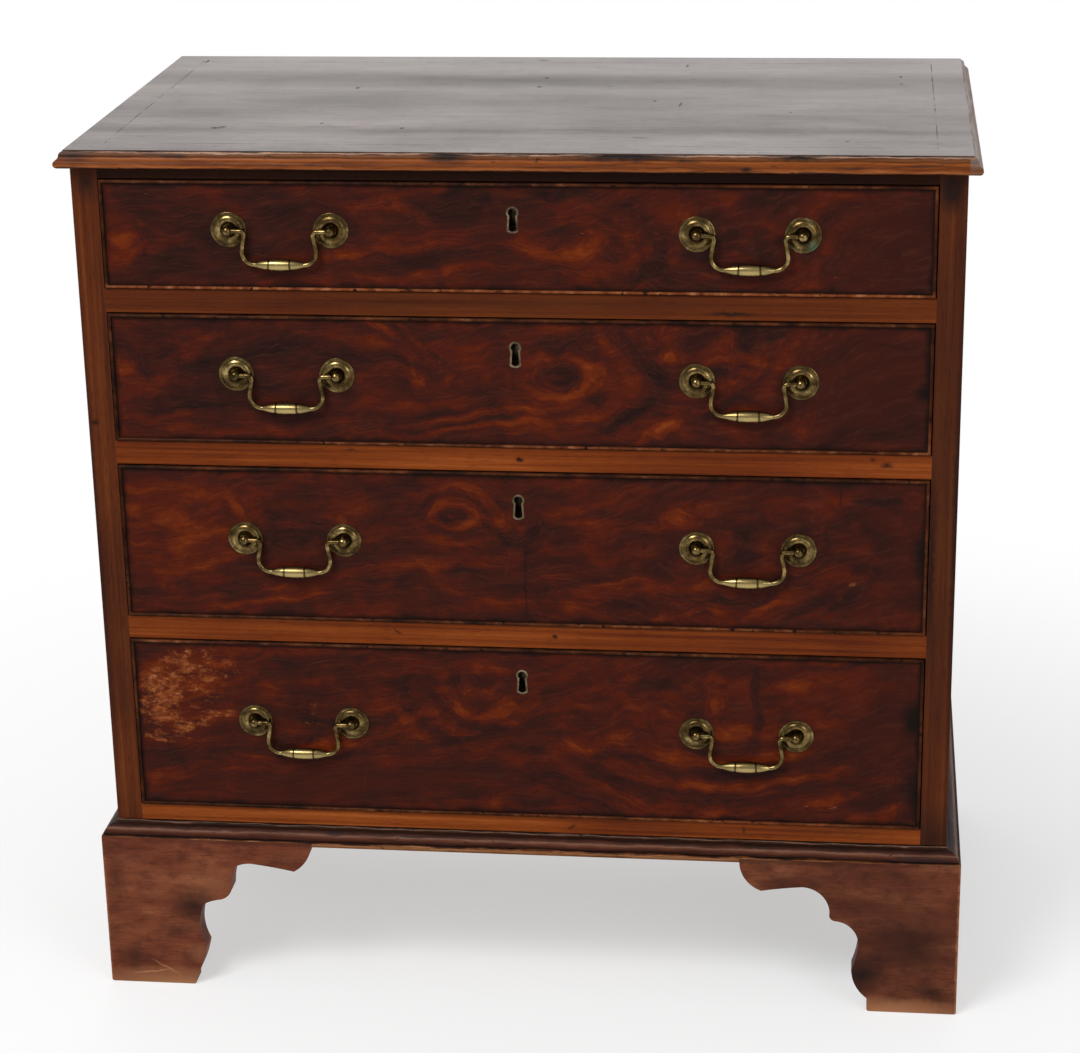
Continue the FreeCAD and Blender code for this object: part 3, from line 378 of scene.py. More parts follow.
# The two spots at 790 mm paint shade on the tops of the stiles under the top; the rest are dark
# edges, ends and a nail hole.
STILE_SPOTS_AND_SHADE = on_front([
    (380, 540, 70, 460, 0, 0.5), (-387, 567, 5, 4, 0, 1.2), (-392, 480, 4, 330, 0, 0.6),
    (392, 480, 4, 330, 0, 0.6), (380, 176, 40, 44, 0, 0.75), (-380, 790, 16, 22, 0, 1.0),
    (380, 790, 16, 26, 0, 1.1), (-372, 620, 4, 90, 0, 0.6), (372, 440, 4, 120, 0, 0.7)])


def rail_marks(tree, place, wood):
    """Knots, holes and dirt of the rails, and painted shade on the rail below the highest drawer."""
    return stained(tree, place, wood, RAIL_SPOTS_AND_SHADE, "#2a150c")


def stile_marks(tree, place, wood):
    """Dark edges and ends of the stiles; at their tops, under the top, the dark is painted shade."""
    return stained(tree, place, wood, STILE_SPOTS_AND_SHADE, "#23120d")


rail_wood = straight_wood("waxed_mahogany_rails", 0, RAIL_WOOD, 3, rail_marks, streak=(260, 3.4),
                          gloss=0.08)
bottom_rail_wood = straight_wood("waxed_mahogany_bottom_rail", 0, BOTTOM_RAIL_WOOD, 4, rail_marks,
                                 streak=(260, 3.4), gloss=0.08)
stile_wood = straight_wood("waxed_mahogany_stiles", 2, STILE_WOOD, 5, stile_marks,
                           streak=(260, 4), gloss=0.08)
top_rail_dirt_and_shade = straight_wood("mahogany_rail_dirt_and_painted_shade", 0, TOP_RAIL_DIRT_AND_SHADE, 6, gloss=0.05)
print("frame finishes:", ", ".join(wood.name for wood in (
    rail_wood, bottom_rail_wood, stile_wood, top_rail_dirt_and_shade)))

# %% [markdown]
# ## Case sides
# Plain mahogany boards with upright grain. They are browner and duller than the front, with the
# broad lighter patches that sun and furniture polish leave.

# %% Case sides
SIDE_WOOD = ["#331710", "#462014", "#532818", "#623522"]
side_wood = straight_wood("waxed_mahogany_sides", 2, SIDE_WOOD, 7, patch=160, gloss=0.12)
print("sides:", side_wood.name)

# %% [markdown]
# ## Mouldings
# A moulding catches wear on its highest lines and dirt in its hollows, and each line of its profile
# meets the light at its own angle. All of that depends on the height above the floor, so a colour
# ramp over the height lays it: pale lines that are partly where dusters have rubbed the polish off
# and partly painted highlight, and near-black quirks and undersides that are partly dirt and partly
# painted shade. Noise moves the heights a little and breaks the lines up. The grain runs round the
# case: along X in front and along Y beside it, which is a matter of swapping two coordinates where
# a point lies beyond the side. The top's moulding has a chip and black patches along its upper
# edge, and a painted pale reflection on its right side.

# %% Mouldings
WAVER = 2.2      # mm that the bands wander up and down
# The pale lines at 2.2 and 14.4 mm are partly worn wood and partly painted highlight; the dark
# underside is painted shade.
TOP_WEAR_AND_LIGHT_BANDS = [    # height in mm above the underside, colour
    (0.0, "#2e150b"), (1.2, "#542a12"), (2.2, "#b0693b"), (3.6, "#8f4f26"), (5.6, "#63300f"),
    (7.4, "#733a13"), (9.4, "#8a4a1c"), (10.6, "#5a2f14"), (12.0, "#6f4325"), (13.6, "#5d371f"),
    (14.4, "#b3907a"), (15.2, "#2a170f")]
# The pale bands at 8.0 and 13.2 mm are partly worn and partly painted highlight on the roll and
# fillet; the near-black quirks are partly dirt and partly painted shade.
BASE_WEAR_AND_LIGHT_BANDS = [
    (-3.0, "#6b3c1f"), (-0.4, "#9a6a42"), (0.2, "#a87a55"), (1.2, "#6e3c1e"), (2.0, "#0f0705"),
    (2.9, "#2c1309"), (5.4, "#4a2519"), (7.0, "#643a27"), (8.0, "#735040"), (8.9, "#4a271a"),
    (10.8, "#221009"), (12.4, "#321709"), (13.2, "#7f6150"), (14.0, "#28150d"), (14.5, "#190d09")]
SIDE_REFLECTION = "#6f655c"   # painted pale reflection on the right side of the top's moulding
TOP_SMOKE = on_front([   # black patches where the polish has burnt or gone, and a chip
    (-55, 817, 26, 7, 0, 1.3), (100, 818, 66, 5, 0, 1.4), (248, 818, 36, 4, 0, 1.2),
    (-388, 816, 26, 8, 0, 0.9), (204, 808, 7, 3.5, 0, 1.2)])


def banded(name, bands, bottom, seed, gloss, rough, side_sheen=0.0, smoked=()):
    """A moulding's finish: bands by height over grain that follows the case round; the bands hold
    wear, dirt, painted highlight and painted shade. Rough is the range of its roughness, side_sheen
    the strength of a painted pale reflection on its right side, smoked its black patches."""
    finish, tree, place = new_finish(name)
    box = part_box("top_board")
    x, y, z = add(tree, "SeparateXYZ", (place,)).outputs
    wide = add(tree, "Math", (x,), operation="ABSOLUTE")
    past_side = add(tree, "Math", (wide, box[1].x), operation="SUBTRACT")
    past_front = add(tree, "Math", (box[0].y, y), operation="SUBTRACT")
    beside = add(tree, "Math", (past_side, past_front), operation="GREATER_THAN")
    swapped = add(tree, "CombineXYZ", (y, x, z))
    along = add(tree, "Mix", {"Factor": beside, "A": place, "B": swapped}, data_type="VECTOR")
    waver = cloud(tree, along, (30, 6, 6), seed, 4.0, 0.65)
    shift = add(tree, "MapRange", (waver, 0.0, 1.0, -WAVER * MM, WAVER * MM))
    height = add(tree, "Math", (z, shift), operation="ADD")
    low, high = bands[0][0], bands[-1][0]
    share = add(tree, "MapRange", (height, bottom + low * MM, bottom + high * MM))
    stops = [((h - low) / (high - low), code) for h, code in bands]
    wood = add(tree, "ValToRGB", {"Fac": share}, stops)
    streaks = cloud(tree, along, (60, 4, 4), seed + 1, 4.0, 0.65)
    wood = flecked(tree, streaks, 0.42, 0.70, 0.55, wood, "#8a5a44", "SMOOTHSTEP", "MULTIPLY")
    chips = cloud(tree, along, (9, 3, 3), seed + 2, 3.0)
    wood = flecked(tree, chips, 0.68, 0.73, 1.0, wood, "#1b100c")
    smoke = cloud(tree, along, (70, 12, 6), seed + 3, 4.0, 0.6)
    wood = flecked(tree, smoke, 0.55, 0.66, 0.7, wood, "#241a19", "SMOOTHSTEP")
    if smoked:
        wood = stained(tree, place, wood, smoked, "#211916")
    # Painted reflection: the right side of the top's moulding turns pale, broken by the streaks.
    right_side = add(tree, "Math", (x, box[1].x + 0.5 * MM), operation="GREATER_THAN")
    side_sheen_share = add(tree, "MapRange", (streaks, 0.35, 0.6, side_sheen, 0.0))
    side_sheen_share = add(tree, "Math", (right_side, side_sheen_share), operation="MULTIPLY")
    wood = add(tree, "Mix", {"Factor": side_sheen_share, "A": wood, "B": SIDE_REFLECTION}, data_type="RGBA")
    coat(tree, wood, (streaks, 0.0, 1.0, *rough), gloss, chips, 0.12)
    return finish


top_mould_wood = banded("mahogany_top_moulding_wear_and_painted_light", TOP_WEAR_AND_LIGHT_BANDS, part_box("top_board")[0].z, 9, 0.09,
                        (0.24, 0.5), side_sheen=0.9, smoked=TOP_SMOKE)
base_mould_wood = banded("mahogany_base_moulding_wear_and_painted_light", BASE_WEAR_AND_LIGHT_BANDS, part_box("case_side_left")[0].z,
                         12, 0.10, (0.4, 0.66))
print("mouldings:", top_mould_wood.name, base_mould_wood.name)

# %% [markdown]
# ## Top
# A field of straight-grained veneer inside a cross-banded border, polished over and over. From the
# front it is seen so flatly that it mirrors the backdrop and looks grey. The sheen is broken by fine
# streaks along the grain, by the thin dark joint of the border, by broad bands where the ground has
# sunk, painted darker as they mirror less, and by dents and burns, each a spot of its own. Towards
# the back a paler colour paints the sheen that grows there.

# %% Top
TOP_WOOD = ["#33221b", "#402c23", "#4b362b", "#584136"]
BORDER = 30     # mm, width of the cross-banding
JOINT = 0.6     # mm on either side of the joint, wider than the real one so that it shows
field_low, field_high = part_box("top_veneer")
TOP_SPOTS = [   # x, y from the front edge, reach in x and y, strength
    (-364, 424, 1.6, 11.2, 1.3), (-282, 96, 5.6, 4.2, 1.2), (-276, 101, 4.8, 3.5, 0.9),
    (107, 65, 12, 1.82, 1.0), (127, 408, 1.6, 8.4, 1.0), (337, 355, 1.92, 7, 0.9),
    (338, 318, 2.4, 2.8, 0.9), (-6, 342, 2.8, 4.9, 0.9), (-8, 297, 3.2, 5.6, 0.8),
    (-185, 287, 2.4, 7, 0.7), (-188, 119, 2.4, 4.9, 0.8), (-111, 100, 2.4, 4.9, 0.8),
    (290, 55, 2.4, 2.8, 0.8), (133, 213, 1.6, 14, 0.7), (108, 230, 2.4, 4.2, 0.7),
    (-20, 436, 9.6, 2.8, 0.8), (-175, 104, 32, 2.1, 0.4), (60, 300, 2.4, 2.8, 0.5),
    (236, 180, 2.4, 3.5, 0.5)]
# Bands where the ground has sunk; their darker colour is a painted reflection, as the undulation
# mirrors less.
TOP_SUNK_REFLECTION_BANDS = [(335, 50, 0.85), (92, 24, 0.5), (230, 110, 0.2)]   # the same without x
SUNK_DULL, MARKS_DULL = 0.22, 0.5    # roughness that sunk wood and marks add
MARKS_DEEP = 4.0                     # how deep a mark is, against the grain's own relief
# A paler colour towards the back, as painted sheen for the reflection that grows there.
TOP_BACK_SHEEN = [((0, field_high.y / MM + BORDER, 0), (1500, 330, NO_LIMIT), (0, 0, 0), 0.46)]


def border_joint(tree, place):
    """1 on the thin joint between the field and its border, broken up by a noise."""
    inward = from_edge(tree, place, field_low, field_high, (0, 1))
    line = add(tree, "Math", (inward, BORDER * MM, JOINT * MM), operation="COMPARE")
    breaks = add(tree, "MapRange", (cloud(tree, place, 26, 43, 5.0, 0.7), 0.42, 0.66, 0.0, 0.75))
    return add(tree, "Math", (line, breaks), operation="MULTIPLY")


def veneered_top():
    """The top's finish: its roughness and relief, too, follow the grain and the marks."""
    finish, tree, place = new_finish("polished_mahogany_top_painted_sheen")
    streaks = cloud(tree, place, (130, 2.2, 20), 15, 6.0, 0.8)
    patches = cloud(tree, place, (150, 60, 60), 16, 4.0)
    pores = cloud(tree, place, (16, 0.9, 5), 17, 2.0)
    tone = add(tree, "Mix", {"Factor": 0.55, "A": streaks, "B": patches}, data_type="FLOAT")
    wood = add(tree, "ValToRGB", {"Fac": tone}, even(TOP_WOOD))
    specks = add(tree, "MapRange", (pores, 0.64, 0.74))
    dents = spots(tree, ragged(tree, place, 7, 2.5, 31),
                  [((x, field_low.y / MM + y, 0), (a, b, NO_LIMIT), (0, 0, 0), strength)
                   for x, y, a, b, strength in TOP_SPOTS])
    marks = add(tree, "Math", (dents, border_joint(tree, place)), operation="MAXIMUM")
    marks = add(tree, "Math", (specks, 0.35, marks), operation="MULTIPLY_ADD", use_clamp=True)
    sunk_dark_reflection = spots(tree, ragged(tree, place, 160, 12, 41),
                 [((-40, field_low.y / MM + y, 0), (900, b, NO_LIMIT), (0, 0, 0), strength)
                  for y, b, strength in TOP_SUNK_REFLECTION_BANDS])
    # Painted reflection: the sunk bands are darker, as their undulation mirrors less of the
    # backdrop.
    wood = add(tree, "Mix", {"Factor": sunk_dark_reflection, "A": wood, "B": "#21150f"}, data_type="RGBA",
               clamp_factor=True)
    # Painted sheen: paler towards the back.
    wood = marked(tree, place, wood, TOP_BACK_SHEEN, "#8d857e")
    wood = add(tree, "Mix", {"Factor": marks, "A": wood, "B": "#0d0907"}, data_type="RGBA")
    rough = add(tree, "MapRange", (tone, 0.38, 0.62, 0.46, 0.34))
    rough = add(tree, "Math", (sunk_dark_reflection, SUNK_DULL, rough), operation="MULTIPLY_ADD")
    rough = add(tree, "Math", (marks, MARKS_DULL, rough), operation="MULTIPLY_ADD", use_clamp=True)
    height = add(tree, "Math", (marks, -MARKS_DEEP, tone), operation="MULTIPLY_ADD")
    coat(tree, wood, rough, 0.36, height, 0.10)
    return finish


top_wood = veneered_top()
print("top:", top_wood.name, "with", len(TOP_SPOTS), "marks")

# %% [markdown]
# ## Feet
# The brackets are short-grained pieces that have been kicked and mopped for two centuries: mottled
# red-brown, dark round the scoop, worn to bare orange wood along the outer corner, and pale where
# the sole meets the floor.

# %% Feet
FOOT_WOOD = ["#5e2e1e", "#723b27", "#7f462e", "#965a3d"]
FOOT_DARK_PATCHES = on_front([
    (-320, 84, 34, 26, -20, 0.9), (-338, 58, 24, 9, 0, 0.55), (-384, 26, 20, 18, 0, 0.7),
    (-232, 134, 30, 12, 0, 0.45), (-270, 122, 16, 7, 0, 0.5), (-396, 110, 12, 50, 0, 0.45),
    (320, 80, 260, 240, 0, 0.42), (366, 70, 46, 34, -10, 0.5), (318, 38, 30, 26, 20, 0.7),
    (384, 22, 26, 14, -20, 0.6), (246, 128, 40, 16, 0, 0.4), (0, 153, 430, 4, 0, 0.9)])
corner_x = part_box("foot_front_right")[1].x / MM
corner_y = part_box("foot_front_right")[0].y / MM
CORNER_WEAR = [((-corner_x - 1, corner_y, 70), (3, 8, 120), (0, 0, 0), 0.9),
               ((corner_x + 1, corner_y, 80), (3.6, 9, 120), (0, 0, 0), 1.4)]
SOLE_WEAR = on_front([
    (-340, -2, 110, 22, 0, 1.1), (340, -2, 110, 19, 0, 1.3), (-366, 12, 24, 1.3, 8, 1.3),
    (-352, 17, 22, 1.1, -30, 1.0), (-318, 34, 16, 14, 0, 0.35), (-300, 108, 40, 26, 0, 0.22)])


def foot_marks(tree, place, wood):
    """Mottle, dark patches round the scoops, and wear at the corners and soles."""
    mottle = cloud(tree, place, (20, 20, 13), 24, 6.0, 0.7)
    wood = flecked(tree, mottle, 0.42, 0.70, 0.6, wood, "#45211a", "SMOOTHSTEP")
    wood = stained(tree, place, wood, FOOT_DARK_PATCHES, "#22140f")
    return stained(tree, place, wood, CORNER_WEAR + SOLE_WEAR, "#a87350")


foot_wood = straight_wood("worn_mahogany_feet", 0, FOOT_WOOD, 13, foot_marks, patch=34,
                          streak=(70, 16), rough=0.5, gloss=0.10)
print("feet:", foot_wood.name)

# %% [markdown]
# ## Flame mahogany
# The drawer fronts are cut from where a trunk forks. There the grain swirls, and the polished face
# shows flames: orange curls and streaks on dark red-brown. No two are alike, so the figure of each
# front is drawn as a list of soft oval strokes, light or dark. Noise bends them all, and fine
# streaks of noise run between them, carried along by the sum of the strokes, so that streaks and
# strokes belong together. Towards the ends the figure calms down. One colour ramp then turns the
# sum into wood.

# %% Figure of the fronts
STROKES = {  # x and z are counted from the middle of the front
    1: [(-260, 10, 130, 64, 0, -0.45), (180, 12, 110, 60, 0, -0.30), (-351, -6, 24, 26, 70, 0.50),
        (-300, 24, 50, 12, 10, 0.22), (-286, -24, 90, 8, 12, -0.30), (-158, -20, 44, 8, 12, 0.32),
        (-86, -10, 60, 7, 5, 0.34), (-77, -21, 66, 5, 5, -0.30), (-62, -33, 80, 5, 3, 0.32),
        (-88, 26, 34, 7, -35, 0.30), (-40, 34, 40, 8, -10, -0.2), (52, -4, 74, 34, -4, 0.34),
        (40, 4, 44, 18, -4, -0.36), (57, -26, 90, 10, -3, 0.26), (97, -2, 12, 34, 12, 0.30),
        (120, -28, 34, 8, 36, -0.42), (146, 12, 10, 38, -10, 0.50), (133, -18, 10, 24, -30, 0.30),
        (190, -2, 22, 34, 0, 0.22), (266, -40, 36, 7, 20, 0.34), (300, -6, 70, 60, 0, 0.30),
        (340, -14, 90, 66, 0, -0.62), (314, 39, 50, 5, -8, 0.30), (30, 40, 22, 8, 0, -0.35),
        (-24, 36, 16, 8, 0, -0.30)],
    2: [(-260, 12, 140, 70, 0, -0.45), (100, 10, 80, 60, 0, -0.15), (-353, 10, 16, 28, 20, 0.55),
        (-300, 25, 66, 11, 40, 0.34), (-322, -4, 60, 9, 25, 0.20), (-215, 24, 56, 22, 0, -0.22),
        (-292, -24, 84, 7, 13, -0.40), (-320, -36, 70, 6, 14, 0.32), (-124, 51, 46, 8, -14, 0.50),
        (-92, 44, 32, 6, -50, 0.36), (-82, 34, 46, 6, -36, -0.34), (-97, 14, 10, 28, 18, 0.40),
        (-60, 10, 30, 12, 60, 0.20), (42, 8, 78, 50, 0, 0.42), (38, 10, 46, 28, 0, -0.52),
        (82, 12, 14, 40, 4, 0.36), (-20, -28, 140, 5, 8, 0.38), (-26, -36, 140, 4, 7, -0.32),
        (-39, -44, 150, 5, 7, 0.30), (104, -26, 36, 8, 34, -0.50), (138, -38, 50, 8, 26, 0.55),
        (142, 38, 10, 26, -10, 0.55), (190, 26, 14, 30, 0, 0.34), (250, 42, 14, 24, -40, 0.34),
        (268, -20, 10, 36, -22, 0.34), (330, -4, 100, 80, 0, -0.26), (334, -44, 46, 9, 8, -0.35)],
    3: [(330, 0, 110, 90, 0, -0.22), (-315, 20, 90, 74, 0, 0.42), (-262, 32, 8, 36, 30, 0.20),
        (-210, 4, 46, 30, 0, -0.50), (-166, 24, 8, 16, 20, 0.30), (-239, -38, 100, 7, 10, -0.34),
        (-229, -54, 120, 6, 7, 0.34), (-105, -24, 90, 6, 8, 0.38), (-110, -36, 90, 5, 8, -0.28),
        (-43, 34, 40, 30, 0, 0.38), (-29, 22, 44, 7, -26, -0.55), (8, 20, 16, 26, 0, -0.45),
        (80, 38, 84, 30, 0, 0.16), (149, 28, 24, 15, 0, 0.50), (104, -18, 66, 6, 10, -0.38),
        (80, -36, 80, 13, 8, 0.40), (176, -56, 80, 7, 12, 0.34), (222, -42, 70, 5, 30, -0.36),
        (240, -34, 50, 8, 40, 0.40), (209, 14, 34, 40, 0, -0.30), (264, 20, 10, 34, -15, 0.28),
        (307, -25, 16, 6, 30, 0.40), (286, -40, 60, 6, 44, 0.22), (357, 44, 14, 20, 0, 0.26),
        (361, 2, 12, 32, 0, -0.50), (330, 50, 40, 6, 0, -0.25)],
    4: [(330, 30, 90, 90, 0, -0.18), (-310, 44, 90, 70, 10, 0.40), (-253, -44, 120, 8, 8, 0.30),
        (-277, -26, 90, 7, 12, -0.34), (-240, -64, 130, 7, 5, 0.22), (-172, -10, 70, 9, 20, 0.38),
        (-180, -26, 70, 6, 14, -0.28), (-58, 36, 14, 40, -20, 0.40), (-10, 28, 36, 14, 30, 0.45),
        (-105, 12, 40, 9, 25, 0.45), (-39, -2, 90, 6, 15, -0.38), (-60, -18, 80, 7, 12, 0.26),
        (80, 0, 60, 13, 20, 0.36), (190, 70, 210, 150, 0, 0.56), (190, 72, 180, 126, 0, -0.62),
        (190, 74, 150, 104, 0, 0.55), (190, 76, 120, 82, 0, -0.55), (183, 32, 13, 40, 0, 0.34),
        (214, 30, 7, 46, -4, -0.45), (271, 58, 56, 12, 10, 0.40), (300, 34, 30, 9, 30, 0.22),
        (357, -40, 14, 50, 0, -0.40), (120, 50, 50, 10, -8, -0.22)],
}
ARCS = {  # rings: oval, how many, strength, oval in which they show
    1: [((352, -46, 120, 108), 5, 0.26, (280, 12, 66, 56)),
        ((40, -4, 130, 60), 3, 0.16, (70, -10, 90, 44))],
    2: [((352, -60, 130, 140), 5, 0.20, (290, 30, 76, 60)),
        ((36, 8, 120, 74), 3, 0.26, (52, 4, 90, 60)),
        ((150, 90, 110, 150), 4, 0.22, (160, 10, 80, 70))],
    3: [((120, 130, 300, 250), 7, 0.24, (230, -34, 130, 50)),
        ((-60, 30, 70, 50), 3, 0.2, (-50, 30, 60, 40))],
    4: [((190, 84, 280, 196), 7, 0.26, (190, -40, 220, 70)),
        ((-40, 60, 90, 90), 4, 0.2, (-50, 20, 80, 50))],
}
QUIET = {  # where the figure calms down
    1: [(326, -8, 92, 74, 0, 1.3)], 2: [(322, 6, 110, 84, 0, 1.2)], 3: [(346, 0, 66, 80, 0, 0.7)],
    4: [(-190, -60, 200, 36, 6, 0.9), (334, 10, 70, 70, 0, 0.8)]}
QUIET_TONE = 0.40      # place of the calm wood on the ramp
FIGURE_DEPTH = 0.62    # share of the strokes that is left under old polish
STREAK_RISE = 0.10     # slope of the streaks
STREAK_SWEEP = 24      # mm that they climb more at the right
STREAK_CARRY = 0.14    # how far the strokes carry them along
BROAD, FINE, MOTTLE = 0.66, 0.22, 1.15   # weights of the noises between the strokes
FIGURE_SHIFT = 0.56    # taken off their sum, so that plain wood lies low on the ramp
QUIET_MOST = 0.8       # how far the figure calms down at most
FIGURE_WOOD = [(0.0, "#1e100e"), (0.25, "#2d1511"), (0.45, "#3e1811"), (0.62, "#501c0e"),
               (0.80, "#67280d"), (1.0, "#823c14")]
print("strokes:", {number: len(rows) for number, rows in STROKES.items()})

# %% [markdown]
# Two centuries have left their marks on the fronts as well: patches where the polish is gone and the
# bleached wood shows, fine scratches, bruises at the edges, grime round the roses of the handles
# together with their painted shadow, and a black rim of wax and dirt inside the cock beads. They
# lie over the figure in this order.

# %% Wear of the fronts
BARE = {    # bleached patches
    1: [], 2: [],
    3: [(149, 30, 22, 12, 0, 0.55), (307, -25, 18, 7, 30, 0.7)],
    4: [(-318, 50, 80, 50, 20, 0.95), (-346, 6, 36, 60, 10, 0.8), (-304, 2, 54, 13, 24, 0.9),
        (-196, 14, 44, 26, 18, 0.62), (290, -66, 80, 12, 4, 0.3)]}
BRUISES = {  # black, rough places
    1: [(28, 40, 20, 6, 0, 0.9), (-24, 35, 9, 6, 0, 0.7)],
    2: [(362, -3, 12, 13, 0, 1.2), (330, 40, 26, 3, -8, 0.4)],
    3: [(364, 4, 9, 34, 0, 1.1), (5, -34, 1.2, 60, 0, 0.9), (290, 56, 1.5, 20, 0, 0.5)],
    4: [(361, 24, 15, 26, 0, 1.4), (363, -50, 10, 34, 0, 1.1), (-2, 44, 12, 22, 0, 0.5),
        (-202, 14, 40, 26, 30, 0.5)]}
SCRATCHES = [(26, 33), (-14, 35), (78, 37)]   # angle in degrees and seed
GRIME_AND_SHADOW_REACH, GRIME_AND_SHADOW = 23, 0.75   # mm round the middle of a rose, strength of its dirt and painted shadow
ROSE_DROP = 3                   # mm from the top of a bail down to the middle of its roses


def rose_grime_and_shadow(number, middle):
    """Rows for the dirt round the four roses of a drawer, which no duster reaches, and for
    their painted shadow.
    """
    boxes = [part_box(f"drawer_{number}_bail_{side}") for side in ("left", "right")]
    return [((x - middle.x) / MM, (high.z - middle.z) / MM - ROSE_DROP, GRIME_AND_SHADOW_REACH, GRIME_AND_SHADOW_REACH,
             0, GRIME_AND_SHADOW) for low, high in boxes for x in (low.x, high.x)]


def figure_tone(tree, bent, number):
    """Where on the ramp the wood of a front lies, and the fine streaks in it."""
    figure = spots(tree, bent, on_front(STROKES[number]))
    figure = add(tree, "Math", (figure, FIGURE_DEPTH), operation="MULTIPLY")
    for rings, count, strength, window in ARCS[number]:
        inward, shown = (spot(tree, bent, (x, 0, z), (long, NO_LIMIT, high))
                         for x, z, long, high in (rings, window))
        angle = add(tree, "Math", (inward, count * 2 * math.pi), operation="MULTIPLY")
        wave = add(tree, "Math", (angle,), operation="SINE")
        wave = add(tree, "Math", (wave, shown), operation="MULTIPLY")
        figure = add(tree, "Math", (wave, strength, figure), operation="MULTIPLY_ADD")

    x, _, z = add(tree, "SeparateXYZ", (bent,)).outputs
    climb = add(tree, "MapRange", (x, 0.08, 0.42, 0.0, STREAK_SWEEP * MM),
                interpolation_type="SMOOTHSTEP")
    climb = add(tree, "Math", (x, STREAK_RISE, climb), operation="MULTIPLY_ADD")
    across = add(tree, "Math", (z, climb), operation="SUBTRACT")
    calm = add(tree, "MapRange", (x, 0.0, 0.2, 1.0, 0.3), interpolation_type="SMOOTHSTEP")
    across = add(tree, "Math", (across, calm), operation="MULTIPLY")
    carried = add(tree, "Math", (figure, STREAK_CARRY), operation="MULTIPLY")
    flow = add(tree, "CombineXYZ", (x, across, carried))
    broad = cloud(tree, flow, (130, 13, 16), number + 11, 4.0, 0.6)
    fine = cloud(tree, flow, (50, 1.7, 9), number + 12, 4.0, 0.7)
    lumps = ragged(tree, bent, 30, 9, number + 23)
    mottle = cloud(tree, lumps, (42, 42, 20), number + 13, 5.0, 0.62)
    tone = figure
    for noise, weight in ((broad, BROAD), (fine, FINE), (mottle, MOTTLE)):
        tone = add(tree, "Math", (noise, weight, tone), operation="MULTIPLY_ADD")
    tone = add(tree, "Math", (tone, FIGURE_SHIFT), operation="SUBTRACT")
    still = spots(tree, bent, on_front(QUIET[number]))
    still = add(tree, "Math", (still, QUIET_MOST), operation="MINIMUM")
    tone = add(tree, "Mix", {"Factor": still, "A": tone, "B": QUIET_TONE}, data_type="FLOAT")
    return tone, fine


def rim_dirt(tree, local, inward, seed):
    """How much dirt lies inside the cock beads, for a distance inward from them."""
    rim = add(tree, "Math", (cloud(tree, local, 24, seed), -12 * MM, inward),
              operation="MULTIPLY_ADD")
    return add(tree, "MapRange", (rim, -4 * MM, 2.5 * MM, 0.85, 0.0),
               interpolation_type="SMOOTHSTEP")


def flame_wood(number):
    """The finish of one drawer front."""
    low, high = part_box(f"drawer_{number}_front")
    middle = (low + high) / 2
    finish, tree, place = new_finish(f"polished_flame_mahogany_{number}")
    local = add(tree, "Mapping", {"Vector": place, "Location": -middle})
    bent = ragged(tree, ragged(tree, local, 110, 20, number), 26, 5, number + 7)
    tone, fine = figure_tone(tree, bent, number)
    wood = add(tree, "ValToRGB", {"Fac": tone}, FIGURE_WOOD)
    wood = flecked(tree, fine, 0.5, 0.8, 0.16, wood, "#7a4731")

    torn = ragged(tree, local, 6, 3.0, 51)
    bits = cloud(tree, torn, (22, 12, 10), number + 17, 6.0, 0.75)
    bare = spots(tree, torn, on_front(BARE[number]),
                 add(tree, "Math", (bits, 3.4, -2.05), operation="MULTIPLY_ADD"))
    bare = add(tree, "MapRange", (bare, 0.25, 0.65, 0.0, 0.8))
    flakes = cloud(tree, torn, (7, 5, 4), number + 29, 4.0, 0.7)
    pale = add(tree, "ValToRGB", {"Fac": flakes}, [(0.32, "#54240f"), (0.48, "#84431f"),
                                                   (0.62, "#a8643c"), (0.74, "#c28c68")])
    wood = add(tree, "Mix", {"Factor": bare, "A": wood, "B": pale}, data_type="RGBA")

    for angle, seed in SCRATCHES:
        turned = add(tree, "Mapping", {"Vector": local, "Rotation": (0, math.radians(angle), 0)})
        hair = cloud(tree, turned, (46, 60, 0.55), seed + number, 1.0)
        wood = flecked(tree, hair, 0.75, 0.80, 0.16, wood, "#8a5a42")

    # Bruises, and dirt with painted shadow round the roses, in near black.
    bruises_grime_and_shadow = on_front(BRUISES[number] + rose_grime_and_shadow(number, middle))
    wood = marked(tree, torn, wood, bruises_grime_and_shadow, "#17100d")
    rim = rim_dirt(tree, local, from_edge(tree, place, low, high, (0, 2)), number + 19)
    wood = add(tree, "Mix", {"Factor": rim, "A": wood, "B": "#160d0a"}, data_type="RGBA")
    coat(tree, wood, (bare, 0.0, 1.0, 0.34, 0.62), 0.05, fine, 0.04)
    return finish


fronts = {number: flame_wood(number) for number in STROKES}
print("drawer fronts:", len(fronts))

# %% [markdown]
# ## Cock beads
# Thin strips round each front stand 2.5 mm proud and are the first thing that a sleeve or a key
# touches. Their rounded noses are rubbed to orange-tan in long stretches with dark nicks, most of
# all below the highest drawer, while their flanks keep the old brown. Along the lower beads the
# paler nose is partly a painted highlight, for the light that a lower bead catches. How far forward
# a point lies tells nose from flank.

# %% Cock beads
# Rows along the lower beads: wear that is partly rubbed polish and partly painted highlight.
BEAD_WEAR_AND_HIGHLIGHT = on_front([
    (0, 695, 700, 7, 0, 0.55), (150, 551, 330, 5, 0, 0.22), (-330, 551, 120, 5, 0, -0.3),
    (200, 379, 300, 5, 0, 0.2), (230, 186, 260, 5, 0, 0.25), (-372, 780, 5, 40, 0, 0.4)])


